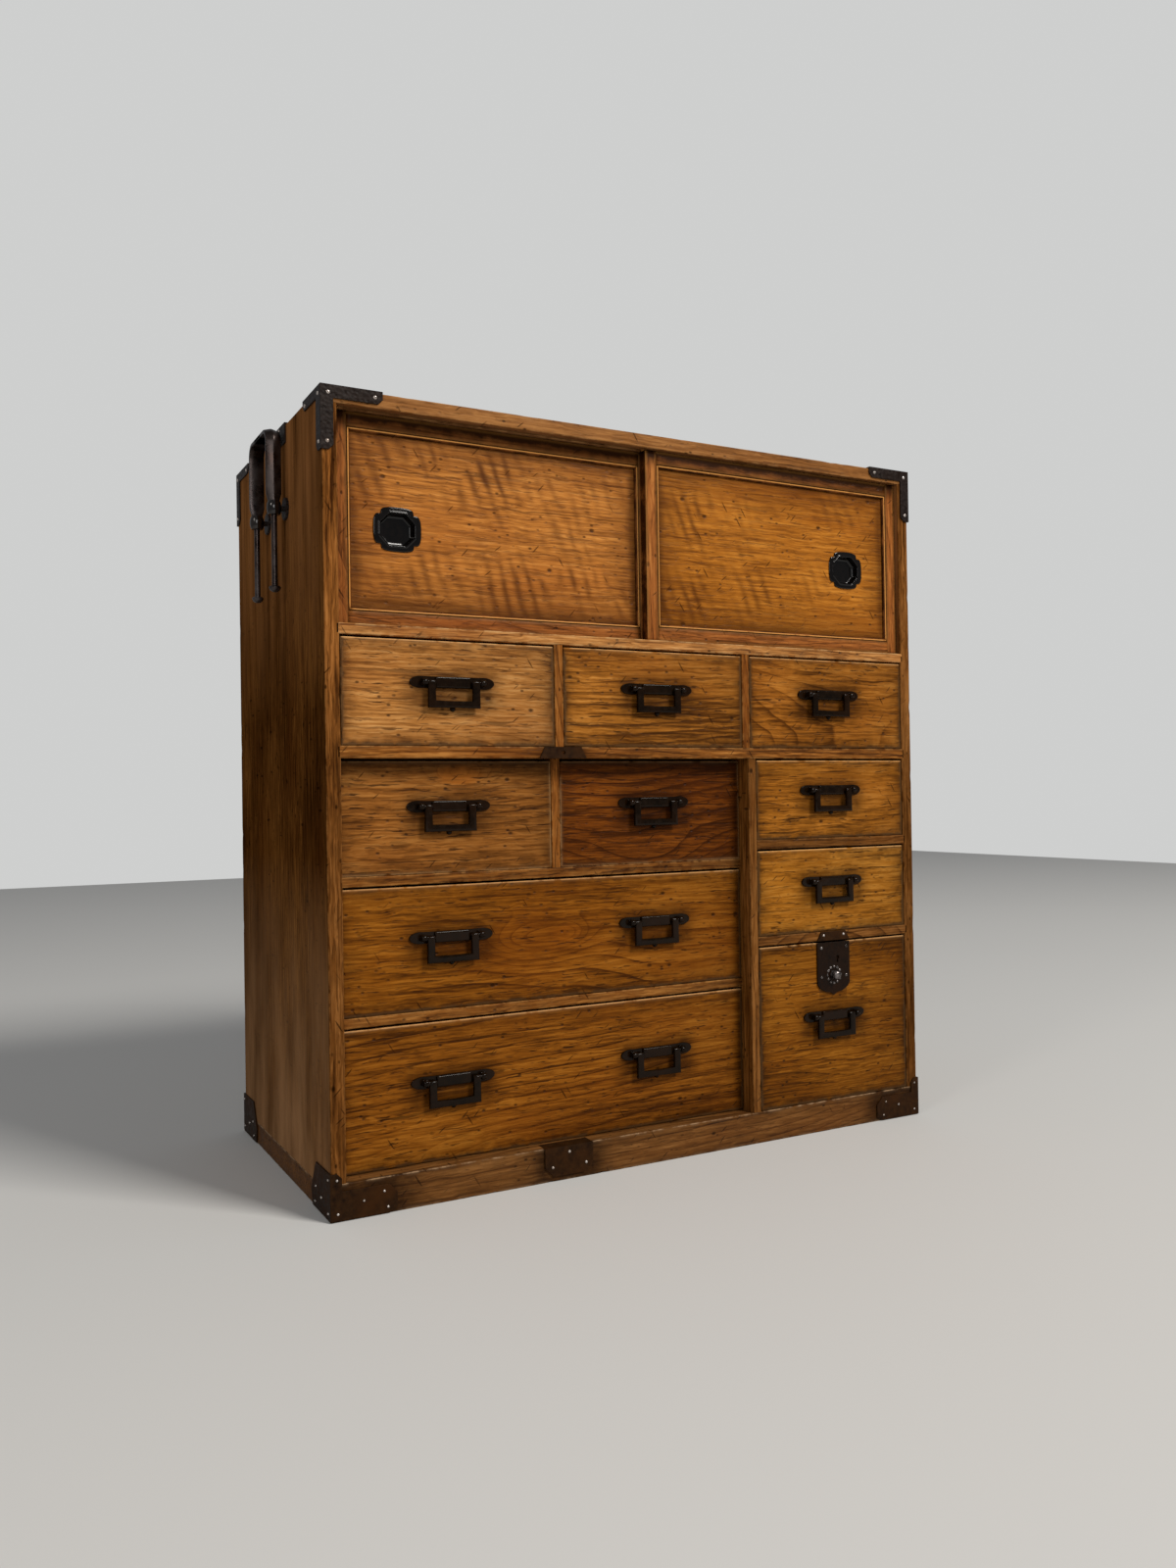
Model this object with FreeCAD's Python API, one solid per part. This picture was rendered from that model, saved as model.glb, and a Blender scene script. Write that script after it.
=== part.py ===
import FreeCAD, Part
import math
import os

# Small tansu chest: a lidless softwood-and-hardwood case on a low base frame, with two sliding
# doors, ten drawers, drop handles, a push lock and two pole-carrying handles.
# Millimetres. +X to the chest's right seen from the front, +Y to its back, +Z up.
# The origin lies on the floor under the middle of the whole object.

V = FreeCAD.Vector
os.makedirs("parts", exist_ok=True)

# ---- case boards -----------------------------------------------------------------------------
case_width = 603.2
case_depth = 297.2
case_height = 649.6
side_thickness = 12.1
top_thickness = 12.0
back_thickness = 7.0
back_board_count = 4
back_lap = 6.0
corner_rebate = 6.0
housing_depth = 3.0
iron_thickness = 1.4

# ---- base frame ------------------------------------------------------------------------------
base_rail_height = 29.0
base_rail_depth = 20.0
runner_height = 20.0
runner_width = 24.0
back_rail_depth = 18.0

# ---- openings of the front, from the floor of the case upwards --------------------------------
lock_bay_height = 154.4
middle_bay_height = 82.0
upper_bay_height = 76.8
column_shelf = 8.7
lower_wide_height = 115.8
upper_wide_height = 103.9
bank_shelf = 8.3
row_shelf_thickness = 9.8
top_row_height = 87.5
sill_thickness = 8.9
column_width = 181.3
partition_thickness = 8.8
divider_thickness = 8.2
bank_recess = 15.0

# ---- drawers ---------------------------------------------------------------------------------
drawer_setback = 0.5
side_gap = 0.5
top_gap = 1.9
under_gap = 0.2
back_gap = 0.4
front_thickness = 12.0
front_lap = 5.0
drawer_side = 7.0
drawer_back = 7.0
drawer_bottom = 5.0
finger_count = 5

# ---- drop handles ----------------------------------------------------------------------------
plate_length = 75.0
plate_height = 10.2
plate_thickness = 1.6
plate_point = 9.0
bar_thickness = 3.6
bar_bevel = 1.3
bar_gap = 0.5
knuckle_width = 4.6
knuckle_radius = 2.9
pivot_standoff = 4.7
pivot_radius = 1.6
pivot_clearance = 0.05
bail_width = 45.6
bail_drop = 21.0
bail_arm = 6.8
bail_bar = 6.0
bail_thickness = 3.2
bail_side_gap = 0.35
striker_radius = 2.3
striker_gap = 0.3
striker_drop = 0.5
handle_rise = 8.0
lock_handle_rise = 5.1
wide_handle_spacing = 197.0
column_handle_shift = -2.2

# ---- sliding doors ---------------------------------------------------------------------------
door_setback = 5.0
door_thickness = 9.0
door_spacing = 1.0
door_overlap = 10.4
door_edge_gap = 0.3
door_lift_gap = 0.4
frame_flat = 11.7
quirk_width = 0.7
quirk_depth = 0.8
frame_width = 15.0
panel_setback = 3.0
panel_thickness = 4.0
panel_tongue = 3.4
panel_play = 0.3
track_tongue = 4.0
track_clearance = 0.3
sill_groove = 2.2
head_groove = 6.5
head_engagement = 4.0
pull_width = 41.0
pull_height = 36.4
pull_notch = 2.6
pull_rim = 1.2
pull_bead = 0.5
cup_width = 29.0
cup_height = 26.0
cup_chamfer = 7.5
cup_wall = 0.8
cup_floor_share = 0.8
cup_depth = 5.7
left_pull_inset = 54.7
right_pull_inset = 63.1
pull_drop = 5.2

# ---- pole-carrying handles -------------------------------------------------------------------
pole_centre_y = -3.0
pole_spacing = 58.0
pole_standoff = 10.4
strap_width = 13.0
strap_edge = 3.2
strap_ridge = 5.0
strap_corner = 11.0
loop_top = 647.2
shoulder_level = 583.0
rod_radius = 2.5
rod_clearance = 0.1
rod_length = 73.0
button_radius = 5.0
button_height = 5.0
eye_height = 11.7
eye_radius = 6.2
eye_seat = 0.3
shank_radius = 2.2
shank_bite = 8.0
rosette_radius = 9.8
rosette_thickness = 2.0
rosette_petals = 12
edge_plate_length = 68.0
edge_plate_drop = 16.0
edge_plate_reach = 11.0
edge_nail_offset = 15.0

# ---- irons at the corners --------------------------------------------------------------------
top_iron_arm = 51.0
top_iron_width = 10.6
side_level_width = 9.0
side_upright_width = 13.0
top_iron_clip = 4.0
base_iron_length = 54.5
base_iron_height = 37.5
base_iron_arm = 23.4
base_iron_side = 41.0
base_iron_clip = 7.0
base_iron_lift = 0.6
post_iron_width = 9.6
nail_radius = 1.6
nail_height = 0.9
nail_inset = 5.0

# ---- plates on the front rails ---------------------------------------------------------------
catch_plate_width = 45.0
catch_plate_clip = 5.0
catch_hole_radius = 1.7
catch_hole_depth = 10.0
centre_plate_width = 46.0
centre_plate_height = 24.5
centre_plate_clip = 8.0
centre_plate_reach = 13.0

# ---- push lock on the deep column drawer -----------------------------------------------------
lock_width = 39.6
lock_height = 51.0
lock_shoulder = 11.0
lock_plate_thickness = 1.5
lock_case_width = 34.0
lock_case_depth = 7.0
lock_case_height = 44.0
bolt_width = 16.0
bolt_thickness = 3.0
bolt_setback = 2.2
bolt_throw = 6.0
bolt_clearance = 0.15
bolt_height = 24.0
lock_button_radius = 4.2
lock_button_reach = 7.5
lock_button_clearance = 0.08
lock_button_travel = 2.0
lock_button_drop = 31.5
petal_ring_radius = 7.9
petal_radius = 1.5
petal_height = 1.4
petal_count = 12
lock_nail_spacing = 30.6
lock_nail_pitch = 28.0
keyhole_radius = 2.0
keyhole_drop = 15.0

# ---- places worked out from the sizes above --------------------------------------------------
front_reach = lock_plate_thickness + lock_button_reach - drawer_setback
front_y = front_reach - (case_depth + front_reach + iron_thickness) / 2.0
back_y = front_y + case_depth
inner_back = back_y - back_thickness
half = case_width / 2.0
inner = half - side_thickness
floor_top = base_rail_height
head_z = case_height - top_thickness
lock_bay_top = floor_top + lock_bay_height
middle_bay_floor = lock_bay_top + column_shelf
middle_bay_top = middle_bay_floor + middle_bay_height
upper_bay_floor = middle_bay_top + column_shelf
row_shelf_under = upper_bay_floor + upper_bay_height
row_floor = row_shelf_under + row_shelf_thickness
sill_under = row_floor + top_row_height
sill_top = sill_under + sill_thickness
lower_wide_top = floor_top + lower_wide_height
upper_wide_floor = lower_wide_top + bank_shelf
upper_wide_top = upper_wide_floor + upper_wide_height
bank_row_floor = upper_wide_top + bank_shelf
column_left = inner - column_width
bank_right = column_left - partition_thickness
bank_centre = (bank_right - inner) / 2.0
bank_front = front_y + bank_recess
row_bay = (2.0 * inner - 2.0 * divider_thickness) / 3.0


def box(x0, x1, y0, y1, z0, z1):
    return Part.makeBox(x1 - x0, y1 - y0, z1 - z0, V(x0, y0, z0))


def prism(points, along):
    face = Part.Face(Part.makePolygon(points + [points[0]]))
    return face.extrude(along)


def prism_y(outline, y0, y1):
    return prism([V(x, y0, z) for x, z in outline], V(0, y1 - y0, 0))


def prism_x(outline, x0, x1):
    return prism([V(x0, y, z) for y, z in outline], V(x1 - x0, 0, 0))


def prism_z(outline, z0, z1):
    return prism([V(x, y, z0) for x, y in outline], V(0, 0, z1 - z0))


def mirror_x(shape):
    return shape.mirror(V(0, 0, 0), V(1, 0, 0))


def mirror_y(shape, y):
    return shape.mirror(V(0, y, 0), V(0, 1, 0))


def fuse(shapes):
    return shapes[0].multiFuse(shapes[1:]).removeSplitter()


def solids_of(shape):
    return shape.Solids


def write(node, shapes):
    solids = []
    for shape in shapes:
        solids += solids_of(shape)
    if len(solids) == 1:
        solids[0].exportStep("parts/" + node + ".step")
    else:
        Part.makeCompound(solids).exportStep("parts/" + node + ".step")


def frustum(centre, normal, radius, top_radius, height, sides=8):
    # A hand-forged nail head or boss: a low many-sided pyramid with its top cut off.
    turn = FreeCAD.Rotation(V(0, 0, 1), normal)
    rings = []
    for level, r in ((0.0, radius), (height, top_radius)):
        points = []
        for i in range(sides):
            angle = 2.0 * math.pi * (i + 0.5) / sides
            points.append(centre + turn.multVec(V(r * math.cos(angle), r * math.sin(angle), level)))
        rings.append(Part.makePolygon(points + [points[0]]))
    return Part.makeLoft(rings, True, True)


def nail(x, y, z, normal):
    return frustum(V(x, y, z), normal, nail_radius, nail_radius * 0.45, nail_height, 6)


# ---- base frame: tall front rail, two low runners, back rail -----------------------------------
front_rail = box(-half, half, front_y, front_y + base_rail_depth, 0, base_rail_height)
back_rail = box(-half, half, back_y - back_rail_depth, back_y, 0, runner_height)
runner_left = box(-half, -half + runner_width, front_y + base_rail_depth, back_y - back_rail_depth,
                  0, runner_height)

# ---- boards let into one another: every housing is cut by the board that it holds ---------------
reach = inner + housing_depth
floor_board = box(-reach, reach, front_y + base_rail_depth, inner_back, runner_height, floor_top)
row_shelf = box(-reach, reach, front_y, inner_back, row_shelf_under, row_floor)
door_sill = box(-reach, reach, front_y, inner_back, sill_under, sill_top)
top_board = box(-half + corner_rebate, half - corner_rebate, front_y, back_y, head_z, case_height)

# Partition between the left bank of drawers and the right column.
column_partition = box(bank_right, column_left, front_y + base_rail_depth, inner_back,
                       floor_top - housing_depth, row_shelf_under + housing_depth)
column_partition = column_partition.fuse(
    box(bank_right, column_left, front_y, front_y + base_rail_depth,
        floor_top, row_shelf_under + housing_depth)).removeSplitter()

# Shelves of the left bank stop short of the front; those of the column come flush with it.
left_shelves = []
for under in (lower_wide_top, upper_wide_top):
    left_shelves.append(box(-reach, bank_right + housing_depth, bank_front, inner_back,
                            under, under + bank_shelf))
right_shelves = []
for under in (lock_bay_top, middle_bay_top):
    right_shelves.append(box(column_left - housing_depth, reach, front_y, inner_back,
                             under, under + column_shelf))

# Dividers of the top row and of the row below it.
dividers = []
for i in (1, 2):
    left = -inner + i * row_bay + (i - 1) * divider_thickness
    dividers.append(box(left, left + divider_thickness, front_y, inner_back,
                        row_floor - housing_depth, sill_under + housing_depth))
bank_divider = box(bank_centre - divider_thickness / 2.0, bank_centre + divider_thickness / 2.0,
                   bank_front, inner_back, bank_row_floor - housing_depth,
                   row_shelf_under + housing_depth)

# Tracks for the sliding doors: two shallow grooves in the sill, two deep ones overhead.
right_door_y = front_y + door_setback
left_door_y = right_door_y + door_thickness + door_spacing
tongue_offset = (door_thickness - track_tongue) / 2.0
for plane in (right_door_y, left_door_y):
    y0 = plane + tongue_offset - track_clearance
    y1 = plane + tongue_offset + track_tongue + track_clearance
    door_sill = door_sill.cut(box(-inner, inner, y0, y1, sill_top - sill_groove, sill_top))
    top_board = top_board.cut(box(-inner, inner, y0, y1, head_z, head_z + head_groove))

# Where a divider or the partition enters a shelf, the shelf is cut to take it.
for divider in dividers:
    row_shelf = row_shelf.cut(divider)
    door_sill = door_sill.cut(divider)
row_shelf = row_shelf.cut(bank_divider).cut(column_partition)
left_shelves[1] = left_shelves[1].cut(bank_divider)
floor_board = floor_board.cut(column_partition)
for shelf in left_shelves + right_shelves:
    column_partition = column_partition.cut(shelf)

# ---- pole-carrying handles: strap loop, rods through ball-headed eyes ----------------------------
pole_x = -half - pole_standoff
arm_y = (pole_centre_y - pole_spacing / 2.0, pole_centre_y + pole_spacing / 2.0)
eye_top = shoulder_level - eye_seat
eye_centre = eye_top - eye_height / 2.0


def carry_handle():
    # The strap is flat inside and ridged outside, bent square with round corners.
    y0, y1 = arm_y
    top = loop_top - strap_ridge / 2.0
    r = strap_corner
    d = r * (1.0 - math.sqrt(0.5))
    path = Part.Wire([
        Part.makeLine(V(pole_x, y0, shoulder_level), V(pole_x, y0, top - r)),
        Part.Arc(V(pole_x, y0, top - r), V(pole_x, y0 + d, top - d), V(pole_x, y0 + r, top)).toShape(),
        Part.makeLine(V(pole_x, y0 + r, top), V(pole_x, y1 - r, top)),
        Part.Arc(V(pole_x, y1 - r, top), V(pole_x, y1 - d, top - d), V(pole_x, y1, top - r)).toShape(),
        Part.makeLine(V(pole_x, y1, top - r), V(pole_x, y1, shoulder_level))])
    w = strap_width / 2.0
    flat = y0 + strap_ridge / 2.0
    edge = flat - strap_edge
    ridge = flat - strap_ridge
    section = [(pole_x - w, flat), (pole_x - w, edge), (pole_x, ridge), (pole_x + w, edge),
               (pole_x + w, flat)]
    points = [V(x, y, shoulder_level) for x, y in section]
    strap = path.makePipeShell([Part.makePolygon(points + [points[0]])], True, True)
    pieces = [strap]
    for y in arm_y:
        foot = shoulder_level - rod_length
        pieces.append(Part.makeCylinder(rod_radius, rod_length, V(pole_x, y, foot)))
        profile = [V(pole_x, y, foot), V(pole_x + button_radius, y, foot),
                   V(pole_x + button_radius, y, foot - button_height * 0.35),
                   V(pole_x + button_radius * 0.45, y, foot - button_height),
                   V(pole_x, y, foot - button_height)]
        face = Part.Face(Part.makePolygon(profile + [profile[0]]))
        pieces.append(face.revolve(V(pole_x, y, 0), V(0, 0, 1), 360))
    return fuse(pieces)


def shank(y):
    depth = pole_standoff + shank_bite
    return Part.makeCylinder(shank_radius, depth, V(pole_x, y, eye_centre), V(1, 0, 0))


def eye(y):
    # A barrel-shaped head with a vertical hole for the rod, on a shank driven into the side.
    h = eye_height / 2.0
    outline = [(0, -h), (eye_radius * 0.72, -h), (eye_radius, -h * 0.45), (eye_radius, h * 0.45),
               (eye_radius * 0.72, h), (0, h)]
    points = [V(pole_x + r, y, eye_centre + z) for r, z in outline]
    head = Part.Face(Part.makePolygon(points + [points[0]])).revolve(V(pole_x, y, 0), V(0, 0, 1), 360)
    hole = Part.makeCylinder(rod_radius + rod_clearance, eye_height + 2.0, V(pole_x, y, eye_centre - h - 1.0))
    return fuse([head, shank(y)]).cut(hole)


def rosette(y):
    # A thin washer with a petalled edge, between the eye and the side board.
    points = []
    for i in range(2 * rosette_petals):
        r = rosette_radius if i % 2 == 0 else rosette_radius * 0.88
        angle = math.pi * i / rosette_petals
        points.append(V(-half - rosette_thickness, y + r * math.cos(angle), eye_centre + r * math.sin(angle)))
    washer = prism(points, V(rosette_thickness, 0, 0))
    return washer.cut(shank(y))


# A folded strip guards the side's top edge where the loop and the pole would rub it.
edge_y0 = pole_centre_y - edge_plate_length / 2.0
edge_y1 = pole_centre_y + edge_plate_length / 2.0
edge_plate = box(-half - iron_thickness, -half, edge_y0, edge_y1,
                 case_height - edge_plate_drop, case_height + iron_thickness)
edge_plate = edge_plate.fuse(box(-half, -half + edge_plate_reach, edge_y0, edge_y1,
                                 case_height, case_height + iron_thickness)).removeSplitter()
edge_nails = []
for y in (pole_centre_y - edge_nail_offset, pole_centre_y + edge_nail_offset):
    edge_nails.append(nail(-half - iron_thickness, y, case_height - nail_radius, V(-1, 0, 0)))

handle_left = carry_handle()
eyes = [eye(y) for y in arm_y]
rosettes = [rosette(y) for y in arm_y]
left_fittings = eyes + rosettes + [edge_plate] + edge_nails
write("carry_handle_left", [handle_left])
write("carry_handle_right", [mirror_x(handle_left)])
write("carry_handle_fittings", left_fittings + [mirror_x(piece) for piece in left_fittings])

# ---- side boards, cut by everything that is let into them ----------------------------------------
side_left = box(-half, -inner, front_y, back_y, runner_height, case_height)
side_left = side_left.cut(box(-half + corner_rebate, -inner, front_y, back_y, head_z, case_height))
side_left = side_left.cut(box(-half + corner_rebate, -inner, inner_back, back_y, runner_height, head_z))
side_left = side_left.cut(front_rail)
side_right = mirror_x(side_left)
for board in [floor_board, row_shelf, door_sill] + left_shelves:
    side_left = side_left.cut(board)
for board in [floor_board, row_shelf, door_sill] + right_shelves:
    side_right = side_right.cut(board)
for y in arm_y:
    side_left = side_left.cut(shank(y))
    side_right = side_right.cut(mirror_x(shank(y)))

# ---- back: horizontal boards lapped over one another, in the sides' rebates -----------------------
back_boards = []
board_height = (head_z - runner_height) / back_board_count
lap_y = inner_back + back_thickness / 2.0
for i in range(back_board_count):
    z0 = runner_height + i * board_height
    z1 = z0 + board_height
    last = i == back_board_count - 1
    lap = 0.0 if last else back_lap
    foot = 0.0 if i == 0 else back_lap
    outline = [(inner_back, z0 + foot), (lap_y, z0 + foot), (lap_y, z0), (back_y, z0),
               (back_y, z1), (lap_y, z1), (lap_y, z1 + lap), (inner_back, z1 + lap)]
    if i == 0:
        outline = [(inner_back, z0)] + outline[3:]
    if last:
        outline = outline[:5] + [(inner_back, z1)]
    back_boards.append(prism_x(outline, -half + corner_rebate, half - corner_rebate))

# ---- drop handles: plate, two knuckles, striker stud and a square-cornered bail --------------------
knuckle_x = bail_width / 2.0 + bail_side_gap + knuckle_width / 2.0


def handle_mounts(x, face_y, z):
    l = plate_length / 2.0
    h = plate_height / 2.0
    b = bail_width / 2.0 - bail_arm - bar_gap
    outline = [(x - l, z), (x - l + plate_point * 0.4, z + h * 0.8), (x - l + plate_point, z + h),
               (x + l - plate_point, z + h), (x + l - plate_point * 0.4, z + h * 0.8), (x + l, z),
               (x + l - plate_point * 0.4, z - h * 0.8), (x + l - plate_point, z - h),
               (x - l + plate_point, z - h), (x - l + plate_point * 0.4, z - h * 0.8)]
    plate = prism_y(outline, face_y - plate_thickness, face_y)
    bar_face = face_y - bar_thickness
    seat = face_y - plate_thickness
    bar_profile = [(seat, z - h), (bar_face + bar_bevel, z - h), (bar_face, z - h + bar_bevel),
                   (bar_face, z + h - bar_bevel), (bar_face + bar_bevel, z + h), (seat, z + h)]
    plate = fuse([plate, prism_x(bar_profile, x - b, x + b)])
    pivot_y = face_y - pivot_standoff
    pieces = [plate]
    for side in (-1, 1):
        x0 = x + side * knuckle_x - knuckle_width / 2.0
        post = box(x0, x0 + knuckle_width, pivot_y, seat, z - knuckle_radius, z + knuckle_radius)
        head = Part.makeCylinder(knuckle_radius, knuckle_width, V(x0, pivot_y, z), V(1, 0, 0))
        hole = Part.makeCylinder(pivot_radius + pivot_clearance, knuckle_width, V(x0, pivot_y, z), V(1, 0, 0))
        pieces.append(fuse([post, head]).cut(hole))
    striker_height = pivot_standoff - bail_thickness / 2.0 - striker_gap
    pieces.append(frustum(V(x, face_y, z - bail_drop - striker_drop), V(0, -1, 0), striker_radius,
                          striker_radius * 0.55, striker_height))
    return pieces


def bail(x, face_y, z):
    w = bail_width / 2.0
    y = face_y - pivot_standoff
    t = bail_thickness / 2.0
    outline = [(x - w, z), (x - w, z - bail_drop), (x + w, z - bail_drop), (x + w, z),
               (x + w - bail_arm, z), (x + w - bail_arm, z - bail_drop + bail_bar),
               (x - w + bail_arm, z - bail_drop + bail_bar), (x - w + bail_arm, z)]
    pieces = [prism_y(outline, y - t, y + t)]
    stub = bail_side_gap + knuckle_width
    for side in (-1, 1):
        x0 = x + side * w
        arm_x = x0 if side < 0 else x0 - bail_arm
        pieces.append(Part.makeCylinder(t, bail_arm, V(arm_x, y, z), V(1, 0, 0)))
        pieces.append(Part.makeCylinder(pivot_radius, stub, V(x0, y, z), V(side, 0, 0)))
    return fuse(pieces)


# ---- drawers: rebated front, comb-jointed back, bottom board underneath ----------------------------
def drawer(x0, x1, z0, z1, face_y):
    left = x0 + side_gap
    right = x1 - side_gap
    low = z0 + under_gap
    high = z1 - top_gap
    back = inner_back - back_gap
    deck = low + drawer_bottom
    rear_of_front = face_y + front_thickness
    front = box(left, right, face_y, rear_of_front, low, high)
    front = front.cut(box(left, right, face_y + front_lap, rear_of_front, low, deck))
    front = front.cut(box(left, left + drawer_side, face_y + front_lap, rear_of_front, deck, high))
    front = front.cut(box(right - drawer_side, right, face_y + front_lap, rear_of_front, deck, high))
    bottom = box(left, right, face_y + front_lap, back, low, deck)
    cheek_left = box(left, left + drawer_side, face_y + front_lap, back, deck, high)
    cheek_right = box(right - drawer_side, right, face_y + front_lap, back, deck, high)
    tail = box(left, right, back - drawer_back, back, deck, high)
    finger = (high - deck) / finger_count
    for i in range(finger_count):
        cell = (back - drawer_back, back, deck + i * finger, deck + (i + 1) * finger)
        cell_left = box(left, left + drawer_side, *cell)
        cell_right = box(right - drawer_side, right, *cell)
        if i % 2 == 0:
            tail = tail.cut(cell_left).cut(cell_right)
        else:
            cheek_left = cheek_left.cut(cell_left)
            cheek_right = cheek_right.cut(cell_right)
    return [front, cheek_left, cheek_right, tail, bottom]


def drawer_set(name, x0, x1, z0, z1, plane, spacing, rise, shift=0.0):
    face_y = plane + drawer_setback
    z = (z0 + z1) / 2.0 + rise
    centre = (x0 + x1) / 2.0 + shift
    places = [("", centre)]
    if spacing > 0:
        places = [("_left", centre - spacing / 2.0), ("_right", centre + spacing / 2.0)]
    mounts = []
    for suffix, x in places:
        mounts += handle_mounts(x, face_y, z)
        write("bail_" + name + suffix, [bail(x, face_y, z)])
    write("mounts_" + name, mounts)
    return drawer(x0, x1, z0, z1, face_y)


for i, name in enumerate(("top_left", "top_middle", "top_right")):
    x0 = -inner + i * (row_bay + divider_thickness)
    boards = drawer_set(name, x0, x0 + row_bay, row_floor, sill_under, front_y, 0, handle_rise)
    write("drawer_" + name, boards)

half_divider = divider_thickness / 2.0
write("drawer_bank_left", drawer_set("bank_left", -inner, bank_centre - half_divider, bank_row_floor,
                                     row_shelf_under, bank_front, 0, handle_rise))
write("drawer_bank_right", drawer_set("bank_right", bank_centre + half_divider, bank_right,
                                      bank_row_floor, row_shelf_under, bank_front, 0, handle_rise))
write("drawer_wide_upper", drawer_set("wide_upper", -inner, bank_right, upper_wide_floor,
                                      upper_wide_top, bank_front, wide_handle_spacing, handle_rise))
write("drawer_wide_lower", drawer_set("wide_lower", -inner, bank_right, floor_top, lower_wide_top,
                                      bank_front, wide_handle_spacing, handle_rise))
write("drawer_column_upper", drawer_set("column_upper", column_left, inner, upper_bay_floor,
                                        row_shelf_under, front_y, 0, handle_rise,
                                        column_handle_shift))
write("drawer_column_middle", drawer_set("column_middle", column_left, inner, middle_bay_floor,
                                         middle_bay_top, front_y, 0, handle_rise,
                                         column_handle_shift))

# ---- push lock: plate with a ring of petals, case let into the drawer front, bolt and button -------
lock_x = (column_left + inner) / 2.0 + column_handle_shift
lock_top = lock_bay_top - top_gap
lock_face = front_y + drawer_setback
lock_tip = lock_top - lock_height
shoulder = lock_tip + lock_shoulder
w = lock_width / 2.0
plate_outline = [(lock_x - w, lock_top), (lock_x - w, shoulder), (lock_x - w * 0.86, shoulder - lock_shoulder * 0.36),
                 (lock_x - w * 0.55, shoulder - lock_shoulder * 0.67),
                 (lock_x - w * 0.22, shoulder - lock_shoulder * 0.78),
                 (lock_x, lock_tip), (lock_x + w * 0.22, shoulder - lock_shoulder * 0.78),
                 (lock_x + w * 0.55, shoulder - lock_shoulder * 0.67),
                 (lock_x + w * 0.86, shoulder - lock_shoulder * 0.36),
                 (lock_x + w, shoulder), (lock_x + w, lock_top)]
plate_y = lock_face - lock_plate_thickness
lock_plate = prism_y(plate_outline, plate_y, lock_face)
button_z = lock_top - lock_button_drop
key_x = lock_x + w * 0.24
key_z = lock_top - keyhole_drop
keyhole = Part.makeCylinder(keyhole_radius, lock_plate_thickness, V(key_x, plate_y, key_z), V(0, 1, 0))
keyhole = keyhole.fuse(box(key_x - keyhole_radius * 0.4, key_x + keyhole_radius * 0.4, plate_y,
                           lock_face, key_z - keyhole_radius * 2.4, key_z))
button_bore = Part.makeCylinder(lock_button_radius + lock_button_clearance,
                                lock_plate_thickness + lock_case_depth, V(lock_x, plate_y, button_z), V(0, 1, 0))
lock_plate = lock_plate.cut(keyhole).cut(button_bore)
petals = []
for i in range(petal_count):
    angle = 2.0 * math.pi * i / petal_count
    petals.append(frustum(V(lock_x + petal_ring_radius * math.cos(angle), plate_y,
                            button_z + petal_ring_radius * math.sin(angle)),
                          V(0, -1, 0), petal_radius, petal_radius * 0.5, petal_height, 6))
plate_nails = []
for side in (-1, 1):
    for z in (lock_top - nail_inset, lock_top - nail_inset - lock_nail_pitch):
        plate_nails.append(nail(lock_x + side * lock_nail_spacing / 2.0, plate_y, z, V(0, -1, 0)))

case_half = lock_case_width / 2.0
case_low = lock_top - lock_case_height
case_shape = (lock_x - case_half, lock_x + case_half, lock_face, lock_face + lock_case_depth)
lock_case = box(*case_shape, case_low, lock_top)
slot_half = bolt_width / 2.0 + bolt_clearance
slot_floor = lock_top - bolt_height - 2.0 * bolt_clearance
slot_y = lock_face + bolt_setback
bolt_slot = box(lock_x - slot_half, lock_x + slot_half, slot_y,
                slot_y + bolt_thickness + 2.0 * bolt_clearance, slot_floor, lock_top)
lock_case = lock_case.cut(bolt_slot).cut(button_bore)
bolt = box(lock_x - bolt_width / 2.0, lock_x + bolt_width / 2.0, slot_y + bolt_clearance,
           slot_y + bolt_clearance + bolt_thickness, slot_floor + bolt_clearance,
           slot_floor + bolt_clearance + bolt_height)
button_tip = plate_y - lock_button_reach
button_root = lock_face + lock_case_depth - lock_button_travel - lock_button_clearance
r = lock_button_radius
profile = [V(lock_x, button_root, button_z), V(lock_x + r, button_root, button_z),
           V(lock_x + r, button_tip + r * 0.6, button_z), V(lock_x + r * 0.8, button_tip + r * 0.2, button_z),
           V(lock_x + r * 0.45, button_tip, button_z), V(lock_x, button_tip, button_z)]
button = Part.Face(Part.makePolygon(profile + [profile[0]])).revolve(V(lock_x, 0, button_z), V(0, 1, 0), 360)
write("lock_plate", [lock_plate, lock_case] + petals + plate_nails)
write("lock_bolt", [bolt])
write("lock_button", [button])

lock_drawer = drawer_set("lock", column_left, inner, floor_top, lock_bay_top, front_y, 0,
                         lock_handle_rise, column_handle_shift)
lock_drawer[0] = lock_drawer[0].cut(box(*case_shape, case_low, lock_top))
write("drawer_lock", lock_drawer)

# The bolt rises into a mortise in the shelf above the drawer.
mortise = box(lock_x - slot_half, lock_x + slot_half, slot_y,
              slot_y + bolt_thickness + 2.0 * bolt_clearance, lock_bay_top,
              lock_bay_top + bolt_throw)
right_shelves[0] = right_shelves[0].cut(mortise)

# ---- plates on the front rails --------------------------------------------------------------------
plates = []
c = catch_plate_width / 2.0
catch_outline = [(bank_centre - c, row_shelf_under), (bank_centre + c, row_shelf_under),
                 (bank_centre + c - catch_plate_clip, row_floor), (bank_centre - c + catch_plate_clip, row_floor)]
catch_z = (row_shelf_under + row_floor) / 2.0
catch_hole = Part.makeCylinder(catch_hole_radius, iron_thickness + catch_hole_depth,
                               V(bank_centre, front_y - iron_thickness, catch_z), V(0, 1, 0))
plates.append(prism_y(catch_outline, front_y - iron_thickness, front_y).cut(catch_hole))
row_shelf = row_shelf.cut(catch_hole)

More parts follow.
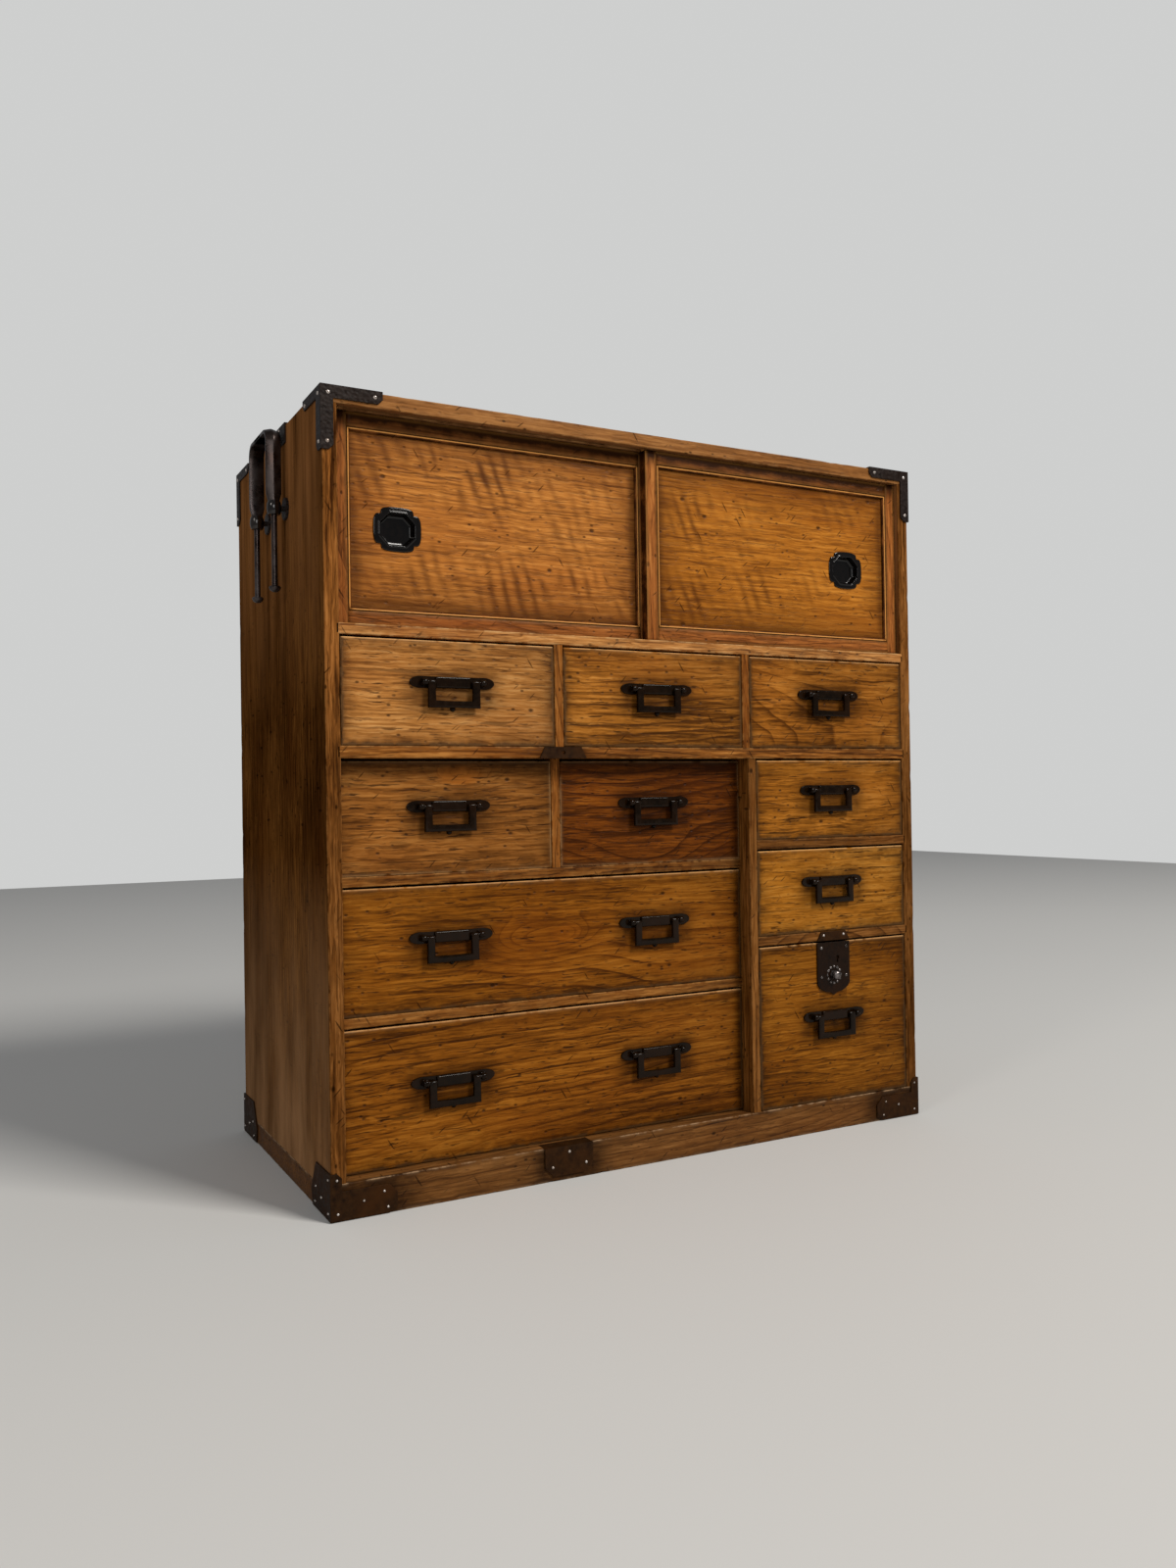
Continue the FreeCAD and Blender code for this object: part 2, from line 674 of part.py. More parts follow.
c = centre_plate_width / 2.0
low = base_rail_height - centre_plate_height
# It is folded over the rail and let in flush, so that the drawer above slides out over it.
centre_outline = [(bank_centre - c, base_rail_height), (bank_centre - c, low + centre_plate_clip),
                  (bank_centre - c + centre_plate_clip, low), (bank_centre + c - centre_plate_clip, low),
                  (bank_centre + c, low + centre_plate_clip), (bank_centre + c, base_rail_height)]
centre_plate = prism_y(centre_outline, front_y - iron_thickness, front_y)
fold = box(bank_centre - c, bank_centre + c, front_y, front_y + centre_plate_reach,
           base_rail_height - iron_thickness, base_rail_height)
front_rail = front_rail.cut(fold)
plates.append(centre_plate.fuse(fold).removeSplitter())
plates.append(nail(bank_centre, front_y - iron_thickness, base_rail_height - nail_inset, V(0, -1, 0)))
for side in (-1, 1):
    plates.append(nail(bank_centre + side * (c - nail_inset * 1.4), front_y - iron_thickness,
                       low + centre_plate_clip, V(0, -1, 0)))

strike_z = lock_bay_top + column_shelf
strike_outline = [(lock_x - w, lock_bay_top), (lock_x + w, lock_bay_top),
                  (lock_x + w - nail_inset, strike_z), (lock_x - w + nail_inset, strike_z)]
plates.append(prism_y(strike_outline, front_y - iron_thickness, front_y))
for side in (-1, 1):
    plates.append(nail(lock_x + side * (w - 1.5 * nail_inset), front_y - iron_thickness,
                       lock_bay_top + column_shelf * 0.6, V(0, -1, 0)))
write("front_plates", plates)

# ---- corner irons ----------------------------------------------------------------------------------
t = iron_thickness


def angle_outline(u, v, du, dv, level_width, upright_width):
    # One L-shaped face of a top iron: two arms with clipped ends, from the corner (u, v) outwards.
    a = top_iron_arm - t
    m = level_width - t
    n = upright_width - t
    c = top_iron_clip
    steps = [(-t, -t), (a, -t), (a, m - c), (a - c, m), (n, m), (n, a - c), (n - c, a), (-t, a)]
    return [(u + du * p, v + dv * q) for p, q in steps]


def top_iron():
    w = top_iron_width
    front = prism_y(angle_outline(-half, case_height, 1, -1, w, w), front_y - t, front_y)
    side = prism_x(angle_outline(front_y, case_height, 1, -1, side_level_width, side_upright_width),
                   -half - t, -half)
    top = prism_z(angle_outline(-half, front_y, 1, 1, w, w), case_height, case_height + t)
    bracket = fuse([front, side, top])
    nails = []
    near = nail_inset
    far = top_iron_arm - t - nail_inset - 1.5
    for p, q in ((near, near), (far, near * 0.8), (near * 0.8, far)):
        nails.append(nail(-half + p, front_y - t, case_height - q, V(0, -1, 0)))
        nails.append(nail(-half - t, front_y + p, case_height - q, V(-1, 0, 0)))
    return [bracket] + nails


def base_iron():
    low = base_iron_lift
    a = base_iron_length - t
    s = base_iron_side - t
    p = post_iron_width - t
    clip = base_iron_clip
    x = -half
    y = front_y
    front_outline = [(x - t, low), (x + a - clip, low), (x + a, low + clip * 0.5),
                     (x + a, base_iron_arm - clip), (x + a - clip, base_iron_arm), (x + p, base_iron_arm),
                     (x + p, base_iron_height - 4.0), (x + p - 4.0, base_iron_height),
                     (x - t, base_iron_height)]
    side_outline = [(y - t, low), (y + a - clip * 0.5, low), (y + a, base_iron_arm * 0.6),
                    (y + s, base_iron_height), (y - t, base_iron_height)]
    front = prism_y(front_outline, y - t, y)
    side = prism_x(side_outline, x - t, x)
    bracket = fuse([front, side])
    nails = []
    for u, v in ((4.0, base_iron_height - nail_inset), (a - 2.2 * nail_inset, base_iron_arm - nail_inset),
                 (a * 0.48, base_iron_arm * 0.58), (a - 1.6 * nail_inset, low + nail_inset),
                 (4.6, low + nail_inset + 0.8)):
        nails.append(nail(x + u, y - t, v, V(0, -1, 0)))
        nails.append(nail(x - t, y + u * 0.92, v, V(-1, 0, 0)))
    return [bracket] + nails


def at_four_corners(pieces):
    # The four irons are the same forging, turned about the chest's upright mid-planes.
    middle_y = (front_y + back_y) / 2.0
    left = pieces + [mirror_y(piece, middle_y) for piece in pieces]
    return left + [mirror_x(piece) for piece in left]


write("top_corner_irons", at_four_corners(top_iron()))
write("base_corner_irons", at_four_corners(base_iron()))

# ---- sliding doors -----------------------------------------------------------------------------------
door_width = (2.0 * inner + door_overlap) / 2.0 - door_edge_gap
door_low = sill_top + door_lift_gap
door_high = head_z - door_lift_gap
tongue_low = sill_top - sill_groove + track_clearance
tongue_high = head_z + head_engagement


def member_profile():
    # Section of a door member: u inwards from the outer edge, v back from the face. A fine quirk
    # divides the flat from a quarter-round bead, and a groove behind the bead holds the panel.
    bead = frame_width - frame_flat - quirk_width
    arc = []
    for i in range(5):
        angle = math.pi / 2.0 * i / 4.0
        arc.append((frame_flat + quirk_width + bead * math.sin(angle), bead * (1.0 - math.cos(angle))))
    groove = frame_width - panel_tongue - panel_play
    points = [(0, 0), (frame_flat, 0), (frame_flat, quirk_depth), (frame_flat + quirk_width, quirk_depth)]
    points += arc
    points += [(frame_width, panel_setback), (groove, panel_setback),
               (groove, panel_setback + panel_thickness), (frame_width, panel_setback + panel_thickness),
               (frame_width, door_thickness), (0, door_thickness)]
    return points


def oct_outline(x, z, width, height, chamfer):
    a = width / 2.0
    b = height / 2.0
    c = chamfer
    return [(x - a, z - b + c), (x - a + c, z - b), (x + a - c, z - b), (x + a, z - b + c),
            (x + a, z + b - c), (x + a - c, z + b), (x - a + c, z + b), (x - a, z + b - c)]


def pull_outline(x, z):
    # Four shallow lobes that meet in small notches at the diagonals.
    a = pull_width / 2.0
    b = pull_height / 2.0
    points = []
    for i in range(24):
        angle = 2.0 * math.pi * i / 24.0 + math.pi / 4.0
        along = (math.degrees(angle) - 45.0) % 90.0
        dent = pull_notch if along == 0 else 0.0
        c = math.cos(angle)
        s = math.sin(angle)
        radius = 1.0 / (abs(c) ** 3 + abs(s) ** 3) ** (1.0 / 3.0)
        points.append((x + (a - dent) * radius * c, z + (b - dent) * radius * s))
    return points


def door(name, x0, face_y, pull_x):
    x1 = x0 + door_width
    z0 = door_low
    z1 = door_high
    f = frame_flat
    g = frame_width
    profile = member_profile()
    back = face_y + door_thickness
    ty0 = face_y + tongue_offset
    ty1 = ty0 + track_tongue
    stile_mask = [(x0, z0), (x0 + f, z0), (x0 + f, z0 + f), (x0 + g, z0 + g), (x0 + g, z1 - g),
                  (x0 + f, z1 - f), (x0 + f, z1), (x0, z1)]
    stile = prism_z([(x0 + u, face_y + v) for u, v in profile], z0, z1)
    stile = stile.common(prism_y(stile_mask, face_y, back))
    stile = fuse([stile, box(x0, x0 + f, ty0, ty1, tongue_low, z0), box(x0, x0 + f, ty0, ty1, z1, tongue_high)])
    middle = (x0 + x1) / 2.0
    other = stile.mirror(V(middle, 0, 0), V(1, 0, 0))
    rails = []
    for edge, away, tip in ((z0, 1, tongue_low), (z1, -1, tongue_high)):
        mask = [(x0 + f, edge), (x1 - f, edge), (x1 - f, edge + away * f), (x1 - g, edge + away * g),
                (x0 + g, edge + away * g), (x0 + f, edge + away * f)]
        rail = prism_x([(face_y + v, edge + away * u) for u, v in profile], x0, x1)
        rail = rail.common(prism_y(mask, face_y, back))
        tongue = box(x0 + f, x1 - f, ty0, ty1, min(edge, tip), max(edge, tip))
        rails.append(fuse([rail, tongue]))
    write("door_" + name + "_frame", [stile, other] + rails)

    edge = g - panel_tongue
    panel_y = face_y + panel_setback
    panel = box(x0 + edge, x1 - edge, panel_y, panel_y + panel_thickness, z0 + edge, z1 - edge)
    pull_z = (z0 + z1) / 2.0 - pull_drop
    wall = 2.0 * cup_wall
    seat = oct_outline(pull_x, pull_z, cup_width + wall, cup_height + wall, cup_chamfer)
    write("door_" + name + "_panel", [panel.cut(prism_y(seat, panel_y, panel_y + panel_thickness))])

    # The pull is a dished octagonal cup under a lobed rim, with a fine bead round its mouth.
    mouth = oct_outline(pull_x, pull_z, cup_width, cup_height, cup_chamfer)
    rim = prism_y(pull_outline(pull_x, pull_z), panel_y - pull_rim, panel_y)
    bead = prism_y(oct_outline(pull_x, pull_z, cup_width + 1.6 * wall, cup_height + 1.6 * wall,
                               cup_chamfer + 0.4), panel_y - pull_rim - pull_bead, panel_y)
    cup_outer = loft_y(seat, panel_y, pull_x, pull_z, panel_y + cup_depth)
    cup_inner = loft_y(mouth, panel_y, pull_x, pull_z, panel_y + cup_depth - cup_wall)
    opening = prism_y(mouth, panel_y - pull_rim - pull_bead, panel_y)
    pull = fuse([rim, bead, cup_outer]).cut(cup_inner).cut(opening)
    write("door_" + name + "_pull", [pull])


def loft_y(outline, y0, x, z, y1):
    # An octagon at y0 drawn in towards its centre as it goes back to y1.
    near = [V(px, y0, pz) for px, pz in outline]
    far = [V(x + (px - x) * cup_floor_share, y1, z + (pz - z) * cup_floor_share) for px, pz in outline]
    rings = [Part.makePolygon(points + [points[0]]) for points in (near, far)]
    return Part.makeLoft(rings, True, True)


door("left", -inner + door_edge_gap, left_door_y, -inner + left_pull_inset)
door("right", inner - door_edge_gap - door_width, right_door_y, inner - right_pull_inset)

# ---- case boards, after every housing, groove and hole has been cut -----------------------------------
write("base_frame", [front_rail, back_rail, runner_left, mirror_x(runner_left)])
write("side_board_left", [side_left])
write("side_board_right", [side_right])
write("top_board", [top_board])
write("floor_board", [floor_board])
write("back_boards", back_boards)
write("door_sill", [door_sill])
write("row_shelf", [row_shelf])
write("column_partition", [column_partition])
write("small_dividers", dividers + [bank_divider])
write("left_shelves", left_shelves)
write("right_shelves", right_shelves)
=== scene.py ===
"""A small tansu chest, dressed for looks over its fixed frame.

The script follows the chest as it is put together: base frame, case boards, shelves, sliding doors,
drawers, drop handles, irons, carrying loops, lock and finger pulls. Then come the floor, the light and
the view. Lengths are in metres.
"""

import bmesh
import bpy
import numpy as np
from mathutils import Matrix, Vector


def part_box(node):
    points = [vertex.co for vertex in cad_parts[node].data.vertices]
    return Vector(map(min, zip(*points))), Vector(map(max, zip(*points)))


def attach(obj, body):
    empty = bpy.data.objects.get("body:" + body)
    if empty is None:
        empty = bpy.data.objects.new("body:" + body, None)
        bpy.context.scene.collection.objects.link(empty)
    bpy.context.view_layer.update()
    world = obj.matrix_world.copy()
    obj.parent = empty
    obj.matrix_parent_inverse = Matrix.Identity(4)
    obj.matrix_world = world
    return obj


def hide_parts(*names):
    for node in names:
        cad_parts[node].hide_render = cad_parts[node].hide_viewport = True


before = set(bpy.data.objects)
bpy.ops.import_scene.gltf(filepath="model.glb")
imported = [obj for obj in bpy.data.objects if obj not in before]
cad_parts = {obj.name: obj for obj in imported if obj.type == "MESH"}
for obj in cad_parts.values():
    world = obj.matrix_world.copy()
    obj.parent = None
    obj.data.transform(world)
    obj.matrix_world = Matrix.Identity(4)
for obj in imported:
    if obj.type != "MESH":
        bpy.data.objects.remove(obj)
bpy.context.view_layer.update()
mm = 0.001

# ---- base frame ---------------------------------------------------------------------------------
# Four low rails of dark red-brown hardwood, lapped at the corners, under the whole case. The front
# rail stands taller than the others and its top arris is rubbed pale by the drawers above it.


def drift(points, size, seed):
    """A smooth random field, about -1 to 1: five sine waves of roughly the given length, crossing."""
    dice = np.random.default_rng(seed)
    total = np.zeros(len(points))
    for k in range(5):
        way = dice.normal(size=3)
        way *= 2.0 * np.pi / (size * dice.uniform(0.7, 1.4)) / np.linalg.norm(way)
        total += np.sin(points @ way + dice.uniform(0.0, 2.0 * np.pi))
    return total / 2.6


def cut_marks(start, end, ease_start, ease_end, step):
    """Where a board's faces are divided: close together by an eased arris, then evenly by step."""
    inner = [start + ease_start, end - ease_end]
    room = inner[1] - inner[0]
    marks = list(np.linspace(inner[0], inner[1], max(1, int(round(room / step))) + 1))
    near = [d for d in (0.7 * mm, 2.2 * mm, 5.0 * mm) if d < min(0.3 * room, 0.9 * step)]
    if ease_start > 0:
        marks += [start, start + 0.59 * ease_start] + [inner[0] + d for d in near]
    if ease_end > 0:
        marks += [end, end - 0.59 * ease_end] + [inner[1] - d for d in near]
    return np.unique(np.round(marks, 7))


def planed_block(low, high, ease=0.8 * mm, step=6.0 * mm, hard="", wear=0.35 * mm, seed=1):
    """A planed board with eased edges: every point of the box is drawn to a core box that is one
    easing radius smaller, then pushed out from it by that radius. Ends named in hard stay square,
    because another block of the same board carries on there. Returns points, quads, edge distance."""
    low, high = np.array(low, float), np.array(high, float)
    ease = min(ease, 0.45 * float((high - low).min()))
    first, last = [np.array([0.0 if n + end in hard else ease for n in "xyz"]) for end in "-+"]
    marks = [cut_marks(low[i], high[i], first[i], last[i], step) for i in range(3)]
    points, quads, edges = [], [], []
    for k in range(3):
        i, j = [a for a in range(3) if a != k]
        u, v = np.meshgrid(marks[i], marks[j], indexing="ij")
        gap = np.full(u.shape, 1.0)
        for grid, axis in ((u, i), (v, j)):
            if first[axis] > 0:
                gap = np.minimum(gap, grid - low[axis])
            if last[axis] > 0:
                gap = np.minimum(gap, high[axis] - grid)
        rows, cols = u.shape
        base = np.arange(rows * cols).reshape(rows, cols)
        loop = [base[:-1, :-1], base[1:, :-1], base[1:, 1:], base[:-1, 1:]]
        for side, place in ((-1, low[k]), (1, high[k])):
            p = np.zeros((rows * cols, 3))
            p[:, i], p[:, j], p[:, k] = u.ravel(), v.ravel(), place
            turn = (side > 0) == (k != 1)
            ring = loop if turn else loop[::-1]
            quads.append(np.stack([a.ravel() for a in ring], 1) + sum(len(q) for q in points))
            points.append(p)
            edges.append(gap.ravel())
    points, quads, edges = np.vstack(points), np.vstack(quads), np.concatenate(edges)
    core = np.clip(points, low + first, high - last)
    out = points - core
    size = np.linalg.norm(out, axis=1, keepdims=True)
    out = np.where(size > 1e-9, out / np.maximum(size, 1e-9), 0.0)
    placed = core + out * ease
    # the arrises are bitten here and there, in short nicks and in longer hollows
    nick_long, hollow_long, bite_reach = 0.011, 0.031, 1.3 * mm
    bitten = np.clip(drift(points, nick_long, seed + 7) * 0.7 + drift(points, hollow_long, seed) - 0.75, 0.0, 1.2)
    placed -= out * (bitten * wear * np.exp(-edges / bite_reach))[:, None]
    _, first_seen, back = np.unique(np.round(placed, 6), axis=0, return_index=True, return_inverse=True)
    widest = np.zeros(len(first_seen))
    np.maximum.at(widest, back.reshape(-1), edges)
    return placed[first_seen], back.reshape(-1)[quads], widest


def gather(blocks):
    """Joins the blocks of one board, or the boards of one piece, into single arrays."""
    points, quads, marks = [], [], []
    count = 0
    for p, q, m in blocks:
        points.append(p)
        quads.append(q + count)
        marks.append(m)
        count += len(p)
    return np.vstack(points), np.vstack(quads), np.concatenate(marks)


def set_in_place(name, points, faces, finish, body, sharp=1.1, **marks):
    """Puts points and quads into a mesh, with named numbers per point for the finish to read, and
    makes the piece ride on its body."""
    mesh = bpy.data.meshes.new(name)
    sides = faces.shape[1]
    mesh.vertices.add(len(points))
    mesh.vertices.foreach_set("co", np.ascontiguousarray(points, np.float32).ravel())
    mesh.loops.add(faces.size)
    mesh.loops.foreach_set("vertex_index", np.ascontiguousarray(faces, np.int32).ravel())
    mesh.polygons.add(len(faces))
    mesh.polygons.foreach_set("loop_start", np.arange(0, faces.size, sides, dtype=np.int32))
    mesh.polygons.foreach_set("use_smooth", np.full(len(faces), True))
    mesh.update(calc_edges=True)
    mesh.validate()
    mesh.set_sharp_from_angle(angle=sharp)
    for key, values in marks.items():
        layer = mesh.attributes.new(key, "FLOAT", "POINT")
        layer.data.foreach_set("value", np.ascontiguousarray(values, np.float32))
    mesh.materials.append(finish)
    piece = bpy.data.objects.new(name, mesh)
    bpy.context.scene.collection.objects.link(piece)
    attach(piece, body)
    return piece


class Reading:
    """A value on its way through a finish. Sums written with it add the nodes that work them out."""

    def __init__(self, shop, socket):
        self.shop, self.socket = shop, socket


for sign, how in (("add", "ADD"), ("sub", "SUBTRACT"), ("mul", "MULTIPLY"), ("truediv", "DIVIDE"), ("pow", "POWER")):
    setattr(Reading, "__%s__" % sign, lambda a, b, how=how: a.shop.sum(how, a, b))
    setattr(Reading, "__r%s__" % sign, lambda a, b, how=how: a.shop.sum(how, b, a))


class Shop:
    """A bench for one finish: adds shader nodes and links them by socket name."""

    def __init__(self, name, finish=None):
        self.finish = finish or bpy.data.materials.new(name)
        self.finish.use_nodes = True
        self.tree = self.finish.node_tree
        self.skin = self.tree.nodes["Principled BSDF"]

    def node(self, kind, settings=(), **inputs):
        node = self.tree.nodes.new("ShaderNode" + kind)
        for key, value in dict(settings).items():
            setattr(node, key, value)
        for key, value in inputs.items():
            self.give(node, key, value)
        return node

    def add(self, kind, settings=(), out=0, **inputs):
        return Reading(self, self.node(kind, settings, **inputs).outputs[out])

    def give(self, node, key, value):
        """Links or sets one input. It is found by its name, or by its number written as i0, i1."""
        if key[0] == "i" and key[1:].isdigit():
            socket = node.inputs[int(key[1:])]
        else:
            wanted = key.replace("_", " ").lower()
            socket = next(s for s in node.inputs if s.name.lower() == wanted and s.enabled)
        if isinstance(value, Reading):
            self.tree.links.new(value.socket, socket)
        else:
            socket.default_value = value

    def dress(self, **inputs):
        """Gives the finish itself its colour, roughness and so on."""
        for key, value in inputs.items():
            self.give(self.skin, key, value)
        return self.finish

    def colour_so_far(self):
        return Reading(self, self.skin.inputs["Base Color"].links[0].from_socket)

    def sum(self, how, a, b=0.0):
        """One step of arithmetic on numbers."""
        return self.add("Math", {"operation": how}, i0=a, i1=b, i2=0.0)

    def here(self):
        """The place of each point of the surface, in the chest's own frame."""
        return self.add("TexCoord", out="Object")

    def axes(self, source):
        return [Reading(self, socket) for socket in self.node("SeparateXYZ", Vector=source).outputs]

    def place(self, source, stretch, shift=(0.0, 0.0, 0.0), turn=(0.0, 0.0, 0.0)):
        """A place stretched by one number, or by three, and then moved or turned."""
        stretch = stretch if isinstance(stretch, tuple) else (stretch,) * 3
        return self.add("Mapping", Vector=source, Scale=stretch, Location=shift, Rotation=turn)

    def cloud(self, source, stretch, detail=4.0, rough=0.55, bend=0.0, shift=(0.0, 0.0, 0.0)):
        """Soft noise, about one patch to a metre, or more where the place is stretched."""
        source = self.place(source, stretch, shift) if stretch else source
        return self.add("TexNoise", out="Fac", Vector=source, Scale=1.0, Detail=detail, Roughness=rough,
                        Distortion=bend)

    def cells(self, source, stretch, kind="F1", **more):
        """How far each point is from the middle of its cell in an uneven net."""
        return self.add("TexVoronoi", {"feature": kind}, "Distance", Vector=self.place(source, stretch),
                        Scale=1.0, Randomness=1.0, **more)

    def span(self, value, a, b, low=0.0, high=1.0):
        """Stretches the range a to b of a value over low to high, and holds it there."""
        return self.add("MapRange", {"clamp": True}, Value=value, From_Min=a, From_Max=b,
                        To_Min=low, To_Max=high)

    def blend(self, amount, under, over, share=1.0):
        """Lays a colour, or a share of its brightness, over another by an amount from 0 to 1."""
        if isinstance(over, tuple):
            over = (*[share * c for c in over[:3]], 1.0)
        return self.add("Mix", {"data_type": "RGBA", "blend_type": "MIX", "clamp_factor": True}, 2,
                        i0=amount, i6=under, i7=over)

    def tones(self, value, *stops):
        """Turns a value into colours, which run from stop to stop."""
        node = self.node("ValToRGB", Fac=value)
        ramp = node.color_ramp
        while len(ramp.elements) < len(stops):
            ramp.elements.new(0.5)
        for slot, (at, colour) in zip(ramp.elements, stops):
            slot.position, slot.color = at, (*colour, 1.0)
        return Reading(self, node.outputs[0])

    def mark(self, name):
        """A number that each point of the mesh carries for its finish."""
        return self.add("Attribute", {"attribute_name": name}, "Fac")


def oiled_wood(name, dark, body, light, run="x", *, ring, contrast, gloss, pore=0.5, grime=0.5, rub=0.6,
               pale=(0.45, 0.20, 0.055), patch=0.3, marked=True, fore=None, knots=(), lines=0.6, shine=0.045,
               wear=(0.44, 0.58)):
    """Old oiled wood. Growth rings are circles round the grain's axis, bent by slow noise, so a face
    shows straight lines near its edges and arches at its middle. Over them lie fine fibres, short
    dark pores, cloudy stain, a rippled figure across the grain, dirt along the edges with painted
    shade by the gaps and quirks, pale rub on the arrises with a painted highlight on door beads, and
    darkening from dirt and painted shadow. Every board takes its own place in the tree from its plank number."""
    shop = Shop(name)
    place = shop.here()
    spot = shop.axes(place)
    lengthwise, depthwise, sidewise = [spot[i] for i in {"x": (0, 1, 2), "z": (2, 1, 0)}[run]]
    plank = shop.mark("plank") if marked else 0.37
    moved = [lengthwise + plank * 3.7, depthwise + plank * 0.31, sidewise + plank * 1.9]
    along = shop.add("CombineXYZ", X=moved[0], Y=moved[1], Z=moved[2])
    # where this board's heart lies: a slow wander of the rings' centre along the board
    slow = shop.add("CombineXYZ", X=moved[0] * 1.6, Y=plank * 40.0, Z=0.3)
    heart = shop.span(shop.cloud(slow, None, 1.5, 0.4), 0.25, 0.75, -0.05, 0.05)
    ripple = shop.cloud(along, (3.4, 15.0, 15.0), 2.0, 0.5)
    side = sidewise + heart + (ripple - 0.5) * 0.016 - (plank * 0.9 - 0.45)
    swell = shop.cloud(along, (4.6, 2.0, 2.0), 1.0, 0.4)
    deep = depthwise + (0.15 + swell * 0.085)
    turns = shop.sum("SQRT", side * side + deep * deep * 2.2) * (ring * 4.2)
    eye, tinted = 0.0, 0.0
    for x, z, wide, tall, strength, tint in knots:
        # a knot lifts the ring field into a hill, so the rings close round it
        dx, dz = (spot[0] - x) / wide, (spot[2] - z) / tall
        hill = shop.sum("EXPONENT", (dx * dx + dz * dz) * -1.0)
        turns = turns + hill * strength
        eye = shop.sum("MAXIMUM", eye, hill)
        tinted = shop.sum("MAXIMUM", tinted, shop.span(hill, 0.45, 0.75) * tint)
    uneven = shop.cloud(along, (5.0, 34.0, 34.0), 2.0, 0.5)
    saw = shop.sum("FRACT", turns + uneven * 0.9)
    early = shop.span(saw, 0.1, 0.95)
    rings = (early ** 2.0 * 0.35 + early ** 9.0 * 0.65) * shop.span(saw, 0.95, 1.0, 1.0, 0.0)
    strong = shop.span(shop.cloud(along, (2.5, 12.0, 12.0), 2.0), 0.4, 0.62, 0.25, 1.0)
    strong = shop.sum("MAXIMUM", strong, eye)
    # the fibres weave a little round one another, so they are drawn in crinkled space
    weave = shop.cloud(along, (38.0, 90.0, 90.0), 2.0, 0.5)
    lean = shop.add("CombineXYZ", Y=weave * 0.0042, Z=weave * 0.0042)
    woven = shop.add("VectorMath", {"operation": "ADD"}, i0=along, i1=lean)
    fibre = shop.cloud(woven, (9.0, 300.0, 300.0), 5.0, 0.66)
    fine = shop.cloud(woven, (22.0, 560.0, 560.0), 3.0, 0.6)
    stain = shop.cloud(along, (4.0, 9.0, 9.0), 4.0, 0.6, 0.4)
    bands = shop.cloud(woven, (2.4, 68.0, 68.0), 6.0, 0.68, 0.15)
    tone = (fibre - 0.5) * (0.9 * contrast) + (stain - 0.5) * (3.4 * patch)
    tone = tone + (fine - 0.5) * (1.9 * contrast) + (bands - 0.5) * (0.6 * contrast)
    tone = tone - rings * strong * lines + (plank - 0.5) * 0.16 + 0.5
    colour = shop.tones(tone, (0.0, dark), (0.5, body), (1.0, light))
    flush = shop.cloud(along, (5.0, 15.0, 15.0), 3.0, 0.55, shift=(3.1, 0.0, 0.0))
    redder = tuple(a * b for a, b in zip(body, (0.82, 0.66, 0.55)))
    colour = shop.blend(shop.span(flush, 0.50, 0.70, 0.0, 0.5), colour, redder)
    if fore:
        edge = shop.tones(tone, (0.0, fore[0]), (0.5, fore[1]), (1.0, fore[2]))
        colour = shop.blend(shop.mark("fore"), colour, edge)
    if knots:
        colour = shop.blend(tinted, colour, tuple(a * b for a, b in zip(light, (0.98, 0.72, 0.38))))
    pores = shop.span(shop.cloud(woven, (55.0, 640.0, 640.0), 2.0, 0.5), 0.585, 0.67)
    seams = shop.span(shop.cloud(woven, (13.0, 330.0, 330.0), 2.0, 0.5), 0.595, 0.63)
    pores = shop.sum("MAXIMUM", pores, seams * shop.span(ripple, 0.38, 0.62, 0.25, 1.0))
    pores = pores * shop.span(fibre, 0.42, 0.6, 0.25, 1.0)
    colour = shop.blend(pores * pore, colour, dark, 0.32)
    # dents and knocks: small dark commas at any angle, and finer specks in dusty patches
    few = shop.span(shop.cloud(place, 19.0, 2.0), 0.48, 0.55)
    knocks = shop.span(shop.cells(along, (34.0, 52.0, 52.0)), 0.05, 0.11, 1.0, 0.0) * few
    dusty = shop.span(shop.cloud(place, 31.0, 3.0), 0.45, 0.54)
    specks = shop.span(shop.cells(along, (90.0, 150.0, 150.0)), 0.08, 0.2, 0.9, 0.0) * dusty
    knocks = shop.sum("MAXIMUM", knocks, specks)
    for turn, seat, size in ((0.55, 0.1, 30.0), (-0.9, 0.7, 41.0), (2.4, 0.4, 36.0)):
        # a scratch is one short stroke inside a cell of a coarse net, leaning its own way
        leaned = shop.place(place, (1.0, 1.0, 1.0), (seat, seat, seat), (0.0, turn, 0.0))
        strokes = shop.cells(leaned, (size * 5.0, size * 0.8, size * 0.62))
        rare = shop.span(shop.cloud(leaned, 16.0, 1.0), 0.50, 0.56)
        stroke = shop.span(strokes, 0.07, 0.12, 1.0, 0.0) * rare
        knocks = shop.sum("MAXIMUM", knocks, stroke * 0.8)
    colour = shop.blend(knocks * 0.85, colour, dark, 0.2)
    rough_edge = shop.cloud(place, 70.0, 4.0, 0.6)
    if marked:
        # dirt along the arrises, with painted shade at the gaps and quirks of drawer fronts and door frames
        dirt = shop.mark("rim") * shop.span(rough_edge, 0.3, 0.62, 0.35, 1.0)
        colour = shop.blend(dirt * grime, colour, dark, 0.42)
        # dirt, and painted shadow where a piece's marks carry it
        soil = shop.mark("soil") * shop.span(rough_edge, 0.25, 0.7, 0.6, 1.0)
        colour = shop.blend(soil * 0.86, colour, dark, 0.3)
